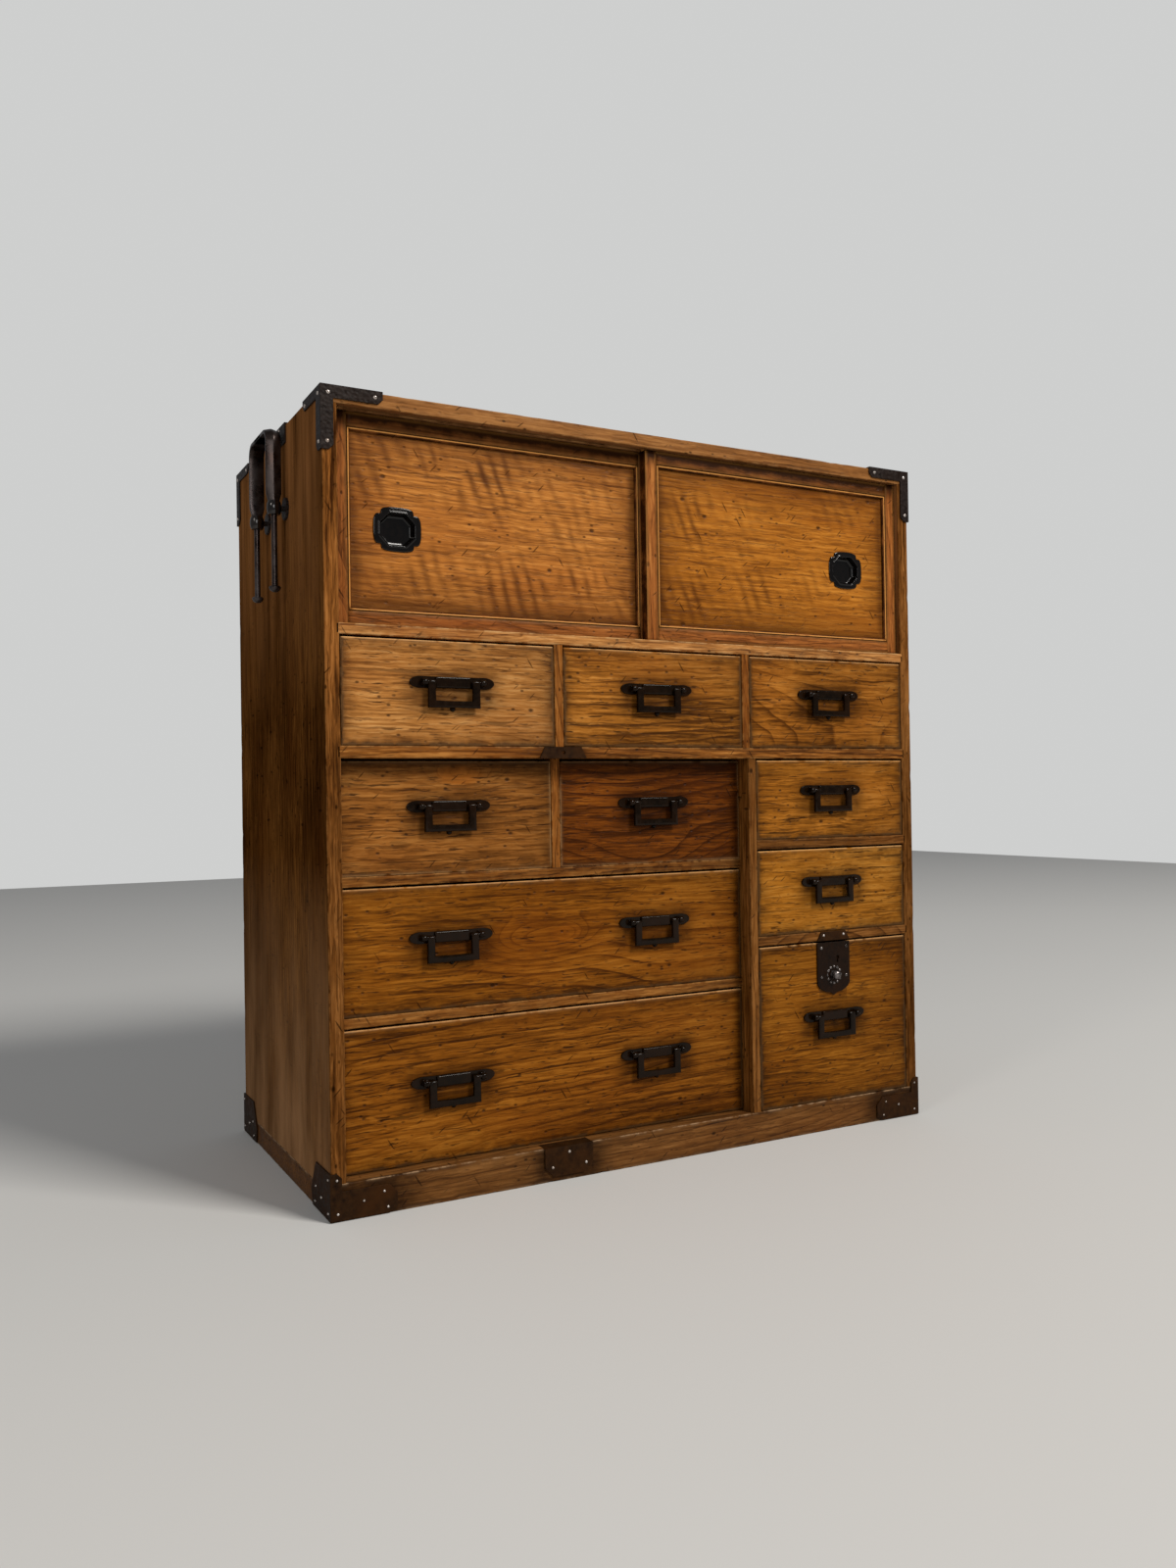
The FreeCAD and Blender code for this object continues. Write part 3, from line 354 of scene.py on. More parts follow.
        # pale wear on the arrises, with a painted highlight along the door beads
        worn_and_lit = shop.mark("arris") * shop.span(rough_edge, *wear)
        colour = shop.blend(worn_and_lit * rub, colour, pale)
    sheen = shop.span(stain * 0.6 + fibre * 0.4, 0.3, 0.7, gloss - 0.09, gloss + 0.13)
    wavy = shop.cloud(place, (15.0, 15.0, 22.0), 2.0, 0.5)
    relief = fibre * 0.35 - pores * 0.55 - rings * 0.14 - knocks * 1.6 + wavy * 1.1
    bump = shop.add("Bump", Strength=0.55, Distance=0.0006, Height=relief)
    return shop.dress(Base_Color=colour, Roughness=sheen, Normal=bump, Specular_IOR_Level=shine)


def assemble(name, boards, finish, body, node=None, soil=None, rim=7.0 * mm, plank=None, crest=None):
    """Boards, each a list of blocks, become one piece. Each board gets its own plank number, and
    every point knows how far it is from an arris: close for rub, further for dirt."""
    points, quads, gaps = gather([gather(blocks) for blocks in boards])
    sizes = [sum(len(b[0]) for b in blocks) for blocks in boards]
    seed = sum(ord(c) for c in name)
    planks = np.random.default_rng(seed).uniform(0.05, 0.95, len(boards)) if plank is None else [plank]
    marks = {"plank": np.repeat(planks, sizes), "arris": np.exp(-gaps / (0.7 * mm)),
             "rim": np.exp(-gaps / rim) + 0.35 * np.exp(-gaps / (1.6 * mm)),
             "fore": np.clip(1.5 - (points[:, 1] - front) / mm, 0.0, 1.0),
             "soil": np.zeros(len(points)) if soil is None else soil(points)}
    if crest is not None:
        # a drawer front is rubbed pale along its top arris, and dirt with painted shade darkens its ends and foot,
        # beside the gaps
        least, most = points.min(0), points.max(0)
        rubbed = 1.7 * np.exp(-np.abs(crest - points[:, 2]) / (0.55 * mm)) * (points[:, 1] < least[1] + 2 * mm)
        ends = np.minimum(np.minimum(points[:, 0] - least[0], most[0] - points[:, 0]), points[:, 2] - least[2])
        marks["arris"] = np.where(ends < 1.5 * mm, 0.25, 1.0) * np.maximum(marks["arris"], rubbed)
        marks["rim"] = marks["rim"] * (1.0 - 0.8 * np.clip(rubbed, 0.0, 1.0)) + 1.7 * np.exp(-ends / (1.6 * mm))
    piece = set_in_place(name, points, quads, finish, body, **marks)
    if node:
        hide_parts(node)


base_low, base_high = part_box("base_frame")
half, front, back = base_high.x, base_low.y, base_high.y
rail_top, runner_top = base_high.z, 20.0 * mm
rail_depth, back_rail_depth, runner_width = 20.0 * mm, 18.0 * mm, 24.0 * mm
dark_oak = oiled_wood("dark_base_wood", (0.036, 0.013, 0.004), (0.140, 0.055, 0.013), (0.27, 0.120, 0.034),
                      ring=30.0, contrast=0.75, grime=0.55, rub=0.85, gloss=0.46, pale=(0.42, 0.26, 0.14))
# the front rail is let down a little where an iron plate folds over its top
fold_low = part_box("front_plates")[0].x
fold_high, fold_back, fold_top = fold_low + 46.0 * mm, front + 13 * mm, rail_top - 1.4 * mm
rail_back = front + rail_depth
rails = [[planed_block((-half, front, 0.0), (fold_low, rail_back, rail_top), 1.1 * mm, 5.0 * mm, "x+", 0.7 * mm, 3),
          planed_block((fold_high, front, 0.0), (half, rail_back, rail_top), 1.1 * mm, 5.0 * mm, "x-", 0.7 * mm, 3),
          planed_block((fold_low, front, 0.0), (fold_high, fold_back, fold_top), 1.1 * mm, 5.0 * mm, "x-x+y+",
                       0.7 * mm, 3),
          planed_block((fold_low, fold_back, 0.0), (fold_high, rail_back, rail_top), 0.4 * mm, 9.0 * mm, "x-x+y-",
                       0.0, 3)],
         [planed_block((-half, back - back_rail_depth, 0.0), (half, back, runner_top), seed=4, step=12 * mm)]]
for side in (-1, 1):
    inside, outside = side * (half - runner_width), side * half
    rails.append([planed_block((min(inside, outside), rail_back, 0.0),
                               (max(inside, outside), back - back_rail_depth, runner_top),
                               hard="y-y+", seed=5 + side)])
centre_plate_x = (fold_low + fold_high) / 2
centre_plate_half, corner_iron_long, rail_grime = 23 * mm, 54 * mm, 17 * mm


def base_soil(points):
    """Grime on the front rail round the iron plate in its middle and the corner irons."""
    reach = np.minimum(np.abs(points[:, 0] - centre_plate_x) - centre_plate_half,
                       half - corner_iron_long - np.abs(points[:, 0]))
    return 1.15 * np.exp(-(np.clip(reach, 0, None) / rail_grime) ** 1.4) * (points[:, 1] < front + 2 * mm)


assemble("base_rails", rails, dark_oak, "case", "base_frame", base_soil)

# ---- side boards --------------------------------------------------------------------------------
# Two full-height boards with upright grain. They are notched over the front base rail and rebated
# inside their top and back edges, so that only a narrow lip of each shows beside the top and back.
side_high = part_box("side_board_left")[1]
lip = 6.0 * mm
inner = -side_high.x
top_z = side_high.z
head_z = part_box("top_board")[0].z
back_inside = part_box("floor_board")[1].y
side_wood = oiled_wood("side_wood", (0.020, 0.006, 0.0010), (0.080, 0.028, 0.0055), (0.20, 0.080, 0.017), run="z",
                       ring=24.0, contrast=0.95, lines=0.3, grime=0.4, rub=0.5, gloss=0.5, patch=0.5,
                       pale=(0.42, 0.17, 0.045), shine=0.0,
                       fore=((0.038, 0.012, 0.003), (0.220, 0.078, 0.016), (0.43, 0.175, 0.045)))
# painted light on the broad face of each side: a warm brown lit patch near its head, and paler patches near its foot
# where light bounces up from the floor
side_shop = Shop("side_wood", side_wood)
worked = side_shop.here()
height = side_shop.axes(worked)[2]
broadside = side_shop.span(side_shop.mark("fore"), 0.0, 0.5, 1.0, 0.0)
oiled = side_shop.colour_so_far()
for reach, stretch, least, strength, colour in (
        ((0.40, 0.60, 0.0, 1.0), (40.0, 55.0, 5.0), 0.1, 0.85, (0.29, 0.122, 0.040)),
        ((0.02, 0.28, 1.0, 0.0), (30.0, 30.0, 7.0), 0.3, 0.9, (0.35, 0.185, 0.085))):
    lit_patches = side_shop.span(side_shop.cloud(worked, stretch), 0.3, 0.65, least, 1.0)
    oiled = side_shop.blend(side_shop.span(height, *reach) * lit_patches * broadside * strength, oiled, colour)
side_shop.dress(Base_Color=oiled)


def drawn_darker(all_over, low_front):
    """How much darker a board is drawn: all over, and on its front edge towards the floor."""
    even_above, fading = 0.45, 0.12

    def soil(points):
        low_down = np.clip((even_above - points[:, 2]) / fading, 0.0, 1.0) * (points[:, 1] < front + 1.5 * mm)
        return all_over + low_front * low_down
    return soil


for side, name in ((-1, "left"), (1, "right")):
    xs = sorted((side * half, side * (half - lip)))
    ins = sorted((side * inner, side * (half - lip)))
    seam, far_seam = ("x+", "x-") if side < 0 else ("x-", "x+")
    blocks = [planed_block((xs[0], front, rail_top), (xs[1], back, top_z), 1.0 * mm, 7 * mm, seam + "z-",
                           wear=0.8 * mm, seed=11 + side),
              planed_block((xs[0], rail_back, runner_top), (xs[1], back, rail_top), 0.8 * mm, 7 * mm, seam + "z+y-",
                           seed=11 + side),
              planed_block((ins[0], front, rail_top), (ins[1], back_inside, head_z), 1.0 * mm, 7 * mm,
                           far_seam + "z-z+y+", wear=0.8 * mm, seed=11 + side)]
    assemble("side_board_%s_planed" % name, [blocks], side_wood, "case", "side_board_" + name,
             drawn_darker(0.5, 0.35) if side > 0 else drawn_darker(0.0, 0.62), 1.5 * mm)

# ---- top, floor and back boards -----------------------------------------------------------------
# The top is one wide board let in between the sides, with two deep grooves under its front for the
# doors. The floor board rests on the base frame. The back is four thin lapped softwood boards.
top_wood = oiled_wood("top_wood", (0.045, 0.017, 0.005), (0.165, 0.066, 0.020), (0.32, 0.15, 0.055),
                      ring=24.0, contrast=0.6, pore=0.35, grime=0.4, rub=0.7, gloss=0.4, patch=0.4,
                      pale=(0.50, 0.25, 0.09), fore=((0.040, 0.013, 0.003), (0.215, 0.083, 0.020), (0.44, 0.20, 0.06)))
plain_wood = oiled_wood("plain_softwood", (0.17, 0.095, 0.045), (0.37, 0.235, 0.125), (0.52, 0.37, 0.22),
                        ring=36.0, contrast=0.45, grime=0.3, rub=0.15, gloss=0.6, pore=0.25)
top_low, top_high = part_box("top_board")
door_front = front + 5.0 * mm
door_thick, door_gap = 9.0 * mm, 1.0 * mm
groove_wide, tongue_set = 4.6 * mm, 2.2 * mm
grooves = [door_front + tongue_set, door_front + door_thick + door_gap + tongue_set]
head_groove, sill_groove = 6.5 * mm, 2.2 * mm
lands = [(front, grooves[0]), (grooves[0] + groove_wide, grooves[1]), (grooves[1] + groove_wide, None)]


def grooved(low, high, level, upper, step, seed, wear, x_hard=""):
    """A board with the two door grooves along it: a solid slab and the lands between the grooves."""
    slab_z = (level, high[2]) if upper else (low[2], level)
    land_z = (low[2], level) if upper else (level, high[2])
    seam = ("z-", "z+") if upper else ("z+", "z-")
    blocks = [planed_block((low[0], low[1], slab_z[0]), (high[0], high[1], slab_z[1]), 0.9 * mm, step,
                           seam[0] + x_hard, wear=wear, seed=seed)]
    for a, b in lands:
        blocks.append(planed_block((low[0], a, land_z[0]), (high[0], high[1] if b is None else b, land_z[1]),
                                   0.35 * mm if a != front else 0.9 * mm, step, seam[1] + x_hard,
                                   wear=wear * 0.6, seed=seed))
    return blocks


def case_board(node, boards, wood, soil=None):
    """A board or a set of boards of the case, in place of the fixed model's own."""
    assemble(node + "_planed", boards, wood, "case", node, soil, 1.2 * mm)


case_board("top_board", [grooved(top_low, top_high, head_z + head_groove, True, 7 * mm, 21, 0.8 * mm, "x-x+")],
           top_wood)
floor_low, floor_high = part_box("floor_board")
back_boards = 4
tall = (head_z - runner_top) / back_boards
backs = [[planed_block((top_low.x, back_inside + 0.2 * mm, runner_top + i * tall),
                       (top_high.x, back, runner_top + (i + 1) * tall), 0.5 * mm, 20 * mm, seed=31 + i)]
         for i in range(back_boards)]
assemble("back_boards_planed", backs, plain_wood, "case", "back_boards")
assemble("floor_board_planed", [[planed_block(floor_low, floor_high, 0.4 * mm, 20 * mm, seed=40)]], plain_wood,
         "case", "floor_board")

# ---- shelves, sill, partition and dividers ------------------------------------------------------
# Thin boards housed into the sides and into one another. Only their front edges show: dark along
# the middle, rubbed pale on the arrises, with old knocks where drawers have struck them.
edge_look = {"ring": 34.0, "contrast": 0.9, "grime": 0.4, "rub": 0.5, "gloss": 0.42, "pale": (0.36, 0.16, 0.045)}
dark_edge = ((0.036, 0.011, 0.002), (0.135, 0.048, 0.008), (0.28, 0.115, 0.028))
edge_wood = oiled_wood("shelf_edge_wood", (0.050, 0.015, 0.003), (0.225, 0.077, 0.012), (0.45, 0.190, 0.042),
                       **{**edge_look, "contrast": 1.0, "grime": 0.45, "rub": 0.6, "pale": (0.56, 0.26, 0.070)})
stand_wood = oiled_wood("divider_wood", (0.045, 0.013, 0.002), (0.225, 0.073, 0.011), (0.42, 0.165, 0.033), "z",
                        **{**edge_look, "grime": 0.45, "rub": 0.6, "pale": (0.52, 0.23, 0.060)})
dark_edge_wood = oiled_wood("dark_shelf_edge_wood", *dark_edge, **edge_look)
post_wood = oiled_wood("partition_wood", *dark_edge, "z", **{**edge_look, "rub": 0.45})
sill_wood = oiled_wood("sill_wood", (0.110, 0.036, 0.009), (0.42, 0.175, 0.045), (0.68, 0.36, 0.13),
                       **{**edge_look, "contrast": 1.0, "rub": 0.7, "gloss": 0.40, "pale": (0.74, 0.45, 0.19)})
sill_low, sill_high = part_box("door_sill")
shelf_low, shelf_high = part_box("row_shelf")
part_low, part_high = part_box("column_partition")
left_low, left_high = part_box("left_shelves")
right_low, right_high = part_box("right_shelves")
bank_shelf, column_shelf, divider = 8.3 * mm, 8.7 * mm, 8.2 * mm
catch_half, catch_grime, bank_fade = 21 * mm, 8 * mm, 58 * mm
case_board("door_sill", [grooved(sill_low, sill_high, sill_high.z - sill_groove, False, 5 * mm, 51, 0.9 * mm)],
           sill_wood)


def plate_soil(points):
    """Grime on the full-width shelf round its iron catch plate."""
    return 0.8 * np.exp(-np.clip(np.abs(points[:, 0] - centre_plate_x) - catch_half, 0, None) / catch_grime)


def shelf_soil(points):
    """The two shelves of the left bank are a little darker all over, and much darker towards the partition."""
    return 0.16 + 0.75 * np.exp(-(part_low.x - points[:, 0]) / bank_fade)


case_board("row_shelf", [[planed_block(shelf_low, shelf_high, 0.9 * mm, 5 * mm, wear=0.8 * mm, seed=52)]],
           edge_wood, soil=plate_soil)
case_board("left_shelves",
           [[planed_block((left_low.x, left_low.y, z), (part_low.x, left_high.y, z + bank_shelf), 0.8 * mm, 5 * mm,
                          "x+", 0.7 * mm, 53)] for z in (left_low.z, left_high.z - bank_shelf)],
           edge_wood, soil=shelf_soil)
# the bolt of the lock rises into a mortise cut in the underside of the lower shelf
mortise_gap, mortise_deep = 0.15 * mm, 6.0 * mm
bolt_low, bolt_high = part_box("lock_bolt")
x0, x1, x2, x3 = part_high.x, bolt_low.x - mortise_gap, bolt_high.x + mortise_gap, right_high.x
y0, y1, y2, y3 = right_low.y, bolt_low.y - mortise_gap, bolt_high.y + mortise_gap, right_high.y
z0, z1 = right_low.z, right_low.z + column_shelf
round_mortise = [((x0, y0, z0), (x3, y1, z1), "x-y+"), ((x0, y2, z0), (x3, y3, z1), "x-y-"),
                 ((x0, y1, z0), (x1, y2, z1), "x-x+y-y+"), ((x2, y1, z0), (x3, y2, z1), "x-y-y+"),
                 ((x1, y1, z0 + mortise_deep), (x2, y2, z1), "x-x+y-y+z-")]
case_board("right_shelves",
           [[planed_block(a, b, 0.8 * mm, 5 * mm, hard, 0.7 * mm, 54) for a, b, hard in round_mortise],
            [planed_block((x0, y0, right_high.z - column_shelf), (x3, y3, right_high.z), 0.8 * mm, 5 * mm, "x-",
                          0.7 * mm, 54)]], dark_edge_wood)
case_board("column_partition",
           [[planed_block((part_low.x, front, rail_top), (part_high.x, part_high.y, shelf_low.z), 0.9 * mm, 6 * mm,
                          "z-z+", 0.8 * mm, 55)]], post_wood)
bay = (2.0 * inner - 2.0 * divider) / 3.0
bank_centre = (part_low.x - inner) / 2.0
uprights = [(-inner + bay, front, shelf_high.z, sill_low.z),
            (-inner + 2 * bay + divider, front, shelf_high.z, sill_low.z),
            (bank_centre - divider / 2, left_low.y, left_high.z, shelf_low.z)]
case_board("small_dividers",
           [[planed_block((x, y, low_z), (x + divider, back_inside, high_z), 0.7 * mm, 6 * mm, "z-z+", 0.6 * mm,
                          56 + i)]
            for i, (x, y, low_z, high_z) in enumerate(uprights)], stand_wood)

# ---- sliding doors ------------------------------------------------------------------------------
# Each door is a framed panel: flat stiles and rails with a fine quirk and a quarter-round bead that
# is mitred at the corners, round a thin panel of figured wood. Tongues run in the grooves.
frame_tones = ((0.070, 0.020, 0.004), (0.300, 0.096, 0.020), (0.50, 0.195, 0.046))
# on the door frames the pale colour is wear on the arrises and a painted highlight along the beads, and the grime
# strength darkens quirks and edges with dirt and painted shade
frame_look = {"ring": 30.0, "contrast": 0.8, "lines": 0.4, "grime": 1.0, "rub": 1.0, "gloss": 0.40,
              "pale": (0.84, 0.38, 0.095), "wear": (0.24, 0.42)}
rail_wood = oiled_wood("door_rail_wood", *frame_tones, **frame_look)
stile_wood = oiled_wood("door_stile_wood", *frame_tones, run="z", **frame_look)
door_faces = {"left": door_front + door_thick + door_gap, "right": door_front}
door_play, tongue_in, tongue_thick, tongue_down = 0.4 * mm, 2.5 * mm, 4 * mm, 1.9 * mm
flat, quirk, quirk_deep, frame_wide = 11.7 * mm, 0.9 * mm, 1.1 * mm, 15.0 * mm
bead = frame_wide - flat - quirk
# the section of a member: place u in from the frame's outer edge, and depth behind its face
member = np.array([(0.0, door_thick), (0.0, 0.8 * mm), (0.25 * mm, 0.25 * mm), (0.8 * mm, 0.0)]
                  + [(u, 0.0) for u in np.linspace(3 * mm, flat - 0.5 * mm, 4)]
                  + [(flat, 0.3 * mm), (flat + 0.2 * mm, quirk_deep), (flat + quirk - 0.2 * mm, quirk_deep)]
                  + [(flat + quirk + bead * np.sin(a), 0.25 * mm + bead * (1 - np.cos(a)))
                     for a in np.linspace(0.0, np.pi / 2, 7)] + [(frame_wide, door_thick)])


def moulded(x0, x1, z0, z1, face, upright_member, near_end):
    """The moulded section carried along one side of the frame. It starts and stops on the mitre
    line where u is in the bead, and on the butt joint where u is in the flat."""
    u, v = member[:, 0], member[:, 1]
    trim = np.where(u > flat + 1e-6, u, 0.0 if upright_member else flat)
    t = np.linspace(0.0, 1.0, 70)[:, None]
    (along0, along1), (across0, across1) = ((z0, z1), (x0, x1)) if upright_member else ((x0, x1), (z0, z1))
    run = (along0 + trim) * (1 - t) + (along1 - trim) * t
    place, depth = [np.broadcast_to(k, run.shape) for k in (across0 + u if near_end else across1 - u, face + v)]
    return np.stack([place, depth, run] if upright_member else [run, depth, place], -1)


def skin_of(grid):
    """Quads over a grid of points, each row of which closes round on itself."""
    rows, cols = grid.shape[:2]
    index = np.arange(rows * cols).reshape(rows, cols)
    index = np.hstack([index, index[:, :1]])
    quads = np.stack([index[:-1, :-1].ravel(), index[1:, :-1].ravel(), index[1:, 1:].ravel(),
                      index[:-1, 1:].ravel()], 1)
    return grid.reshape(-1, 3), quads


def joined(shells):
    """The points and quads of several shells, as one."""
    return gather([(points, quads, np.zeros(len(points))) for points, quads in shells])[:2]


def finish_mesh(piece):
    """Merges doubled points, closes open ends and turns every face outwards."""
    work = bmesh.new()
    work.from_mesh(piece.data)
    bmesh.ops.remove_doubles(work, verts=work.verts, dist=0.02 * mm)
    open_edges = [e for e in work.edges if e.is_boundary]
    if open_edges:
        bmesh.ops.holes_fill(work, edges=open_edges, sides=0)
    bmesh.ops.recalc_face_normals(work, faces=work.faces)
    work.to_mesh(piece.data)
    work.free()
    return piece


def framed(name, part, upright, finish, low, high, z0, z1):
    """Two stiles or two rails: arrises rubbed bright and a painted highlight along each bead, dirt with painted shade
    in the quirk and at the edges, and painted shadow with some grime darkening the head of the door under the lip of
    the top board."""
    face = door_faces[name]
    points, quads = joined([skin_of(moulded(low.x, high.x, z0, z1, face, upright, near)) for near in (True, False)])
    ends, axis = ((low.x, high.x), 0) if upright else ((z0, z1), 2)
    u = np.minimum(points[:, axis] - ends[0], ends[1] - points[:, axis])

    def band(place, reach):
        return np.exp(-np.abs(u - place) / reach)

    # wear on the outer arris, and a painted highlight along the top of the bead
    rubbed = 0.3 * band(0.3 * mm, 0.8 * mm) + 1.4 * band(flat + quirk + 0.5 * bead, 0.9 * mm)
    # dirt with painted shade in the quirk and along both edges of the member
    dirt_and_crevice_shade = 2.0 * band(flat + 0.4 * mm, 0.9 * mm) + 1.2 * band(0.0, 1.6 * mm) + 1.2 * band(frame_wide, 1.4 * mm)
    # painted shadow, with some grime, darkens the head of the door under the lip of the top board
    piece = set_in_place("door_%s_%s" % (name, part), points, quads, finish, "door_" + name,
                         plank=np.where(np.arange(len(points)) < len(points) // 2, 0.23, 0.71),
                         arris=rubbed * (points[:, 1] < face + 0.5 * mm), rim=np.clip(dirt_and_crevice_shade, 0, 1.6),
                         soil=np.clip(2.0 - (z1 - points[:, 2]) / (8 * mm), 0.0, 1.6))
    piece.data.set_sharp_from_angle(angle=0.9)
    finish_mesh(piece)
    return piece


for name, face in door_faces.items():
    low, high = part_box("door_%s_frame" % name)
    z0, z1, tongue_y = sill_high.z + door_play, head_z - door_play, face + tongue_in
    piece = framed(name, "stiles", True, stile_wood, low, high, z0, z1)
    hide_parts("door_%s_frame" % name)
    framed(name, "rails", False, rail_wood, low, high, z0, z1)
    assemble("door_%s_tongues" % name,
             [[planed_block((low.x, tongue_y, a), (high.x, tongue_y + tongue_thick, b), 0.3 * mm, 30 * mm, seed=61)]
              for a, b in ((sill_high.z - tongue_down, z0), (z1, high.z))], rail_wood, "door_" + name)


def panel_wood(name, dark, body, light, low, high, spots):
    """A figured panel: oiled wood with its own dark border by the frame, partly oil and dust gathered there and partly
    painted shade, and rippled flames. Each spot of flames has its middle, its reach both ways and its strength."""
    curl = 0.78
    shop = Shop(name, oiled_wood(name, dark, body, light, ring=46.0, contrast=0.80, pore=0.65, gloss=0.40,
                                 marked=False, patch=0.20, lines=0.16))
    place = shop.here()
    x, _, z = shop.axes(place)
    across, up = [shop.sum("MINIMUM", value - a, b - value)
                  for value, a, b in ((x, low.x, high.x), (z, low.z, high.z))]
    uneven = shop.cloud(place, 9.0, 3.0, 0.5)
    edge = shop.sum("MINIMUM", across, up) + (uneven - 0.5) * 0.02
    wander = shop.cloud(place, (16.0, 16.0, 11.0), 2.0, 0.5)
    broken = shop.cloud(place, (26.0, 26.0, 24.0), 3.0, 0.6)
    flame = shop.sum("SINE", (x * 0.93 + z * 0.36) * 500.0 + wander * 13.0)
    flame = (flame + 1.0) * 0.5 * shop.span(broken, 0.34, 0.58, 0.05, 1.0)
    where = 0.0
    for cx, cz, rx, rz, strength in spots:
        dx, dz = (x - cx) / rx, (z - cz) / rz
        where = where + shop.span(dx * dx + dz * dz, 0.1, 1.3, strength, 0.0)
    colour = shop.blend(flame ** 1.4 * where * curl, shop.colour_so_far(), dark, 0.8)
    # the dark border by the frame: oil and dust with painted shade, a wide band and then a narrow line
    colour = shop.blend(shop.span(edge, 0.0015, 0.034, 1.0, 0.0) * 0.52, colour, dark, 0.8)
    colour = shop.blend(shop.span(edge, 0.002, 0.0075, 1.0, 0.0) * 0.45, colour, dark, 0.35)
    return shop.dress(Base_Color=colour)


def refinish(node, finish):
    """Gives a finish to a piece of the fixed model that keeps its own shape."""
    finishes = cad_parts[node].data.materials
    finishes.clear()
    finishes.append(finish)


panel_cover = 3.4 * mm
for name, tones, spots in (
        ("left", ((0.105, 0.030, 0.005), (0.42, 0.152, 0.026), (0.64, 0.28, 0.064)),
         ((-0.255, 0.600, 0.035, 0.045, 0.9), (-0.190, 0.600, 0.040, 0.035, 0.9), (-0.130, 0.590, 0.045, 0.045, 1.0),
          (-0.085, 0.545, 0.040, 0.040, 0.7), (-0.225, 0.515, 0.045, 0.030, 0.7), (-0.125, 0.505, 0.065, 0.035, 1.0),
          (-0.035, 0.500, 0.040, 0.030, 0.8), (-0.040, 0.590, 0.040, 0.035, 0.5))),
        ("right", ((0.100, 0.028, 0.003), (0.350, 0.118, 0.011), (0.55, 0.22, 0.030)),
         ((0.075, 0.575, 0.050, 0.040, 0.6), (0.020, 0.505, 0.045, 0.030, 0.9), (0.090, 0.510, 0.060, 0.030, 0.6),
          (0.160, 0.525, 0.050, 0.035, 0.5), (0.225, 0.605, 0.035, 0.025, 0.6), (0.040, 0.590, 0.030, 0.030, 0.5)))):
    low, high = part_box("door_%s_panel" % name)
    for corner, way in ((low, 1), (high, -1)):
        corner.x, corner.z = corner.x + way * panel_cover, corner.z + way * panel_cover
    refinish("door_%s_panel" % name, panel_wood("%s_panel_wood" % name, *tones, low, high, spots))

# ---- drawers ------------------------------------------------------------------------------------
# Each drawer is a thick front, two thin sides held in its rebates, a back comb-jointed to the sides
# and a bottom board nailed on underneath. The fronts were cut from different planks and have aged
# apart, so every front has its own tones; the hidden boards are pale plain softwood.
# A knot has its place across and up, half width, half height, lift of the rings and depth of tint.
drawer_fronts = {
    "top_left": ((0.110, 0.037, 0.007), (0.400, 0.163, 0.036), (0.60, 0.30, 0.095), {}),
    "top_middle": ((0.085, 0.027, 0.003), (0.340, 0.122, 0.0145), (0.52, 0.225, 0.044), {"lines": 0.7}),
    "top_right": ((0.075, 0.023, 0.002), (0.305, 0.104, 0.0110), (0.46, 0.185, 0.030), {}),
    "bank_left": ((0.070, 0.022, 0.003), (0.262, 0.093, 0.0155), (0.41, 0.172, 0.038),
                  {"knots": ((-0.184, 0.346, 0.027, 0.0125, 3.4, 0.7),)}),
    "bank_right": ((0.045, 0.011, 0.001), (0.158, 0.041, 0.0030), (0.28, 0.088, 0.008),
                   {"knots": ((0.010, 0.272, 0.070, 0.020, 2.2, 0.0),), "ring": 24.0, "lines": 0.8}),
    "wide_upper": ((0.055, 0.015, 0.001), (0.212, 0.067, 0.0040), (0.35, 0.130, 0.013),
                   {"knots": ((-0.118, 0.205, 0.042, 0.018, 4.2, 0.0), (-0.085, 0.208, 0.020, 0.010, 2.5, 0.25)),
                    "ring": 21.0, "lines": 0.8}),
    "wide_lower": ((0.055, 0.015, 0.001), (0.205, 0.064, 0.0042), (0.34, 0.126, 0.013),
                   {"knots": ((-0.055, 0.045, 0.140, 0.030, 0.8, 0.0),), "ring": 21.0}),
    "column_upper": ((0.080, 0.025, 0.002), (0.340, 0.120, 0.0110), (0.49, 0.20, 0.032), {"lines": 0.38}),
    "column_middle": ((0.080, 0.026, 0.002), (0.325, 0.117, 0.0095), (0.48, 0.205, 0.030),
                      {"knots": ((0.265, 0.222, 0.030, 0.012, 1.2, 0.0),), "lines": 0.32}),
    "lock": ((0.050, 0.015, 0.001), (0.178, 0.057, 0.0030), (0.31, 0.115, 0.010),
             {"knots": ((0.150, 0.140, 0.050, 0.016, 1.2, 0.0), (0.21, 0.050, 0.070, 0.022, 1.2, 0.0)), "lines": 0.5}),
}
front_look = {"ring": 27.0, "contrast": 0.95, "grime": 0.8, "rub": 0.6, "gloss": 0.42, "patch": 0.46, "pore": 0.95,
              "lines": 0.65, "wear": (0.34, 0.50)}
chosen_plank = {"wide_lower": 0.93}
wide_spacing, plate_rise = 197.0 * mm, 5 * mm
front_thick, front_lap, cheek, tail, deck_thick, fingers = 12 * mm, 5 * mm, 7 * mm, 7 * mm, 5 * mm, 5
lock_case_tall, lock_case_back, lock_case_margin = 44.0 * mm, 7.0 * mm, 2.8 * mm


def handle_places(name):
    """Where the drawer's handles hang: one in the middle, or two on a wide drawer."""
    low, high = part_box("mounts_" + name)
    middle = (low.x + high.x) / 2
    if name.startswith("wide"):
        return [("_left", middle - wide_spacing / 2), ("_right", middle + wide_spacing / 2)]
    return [("", middle)]


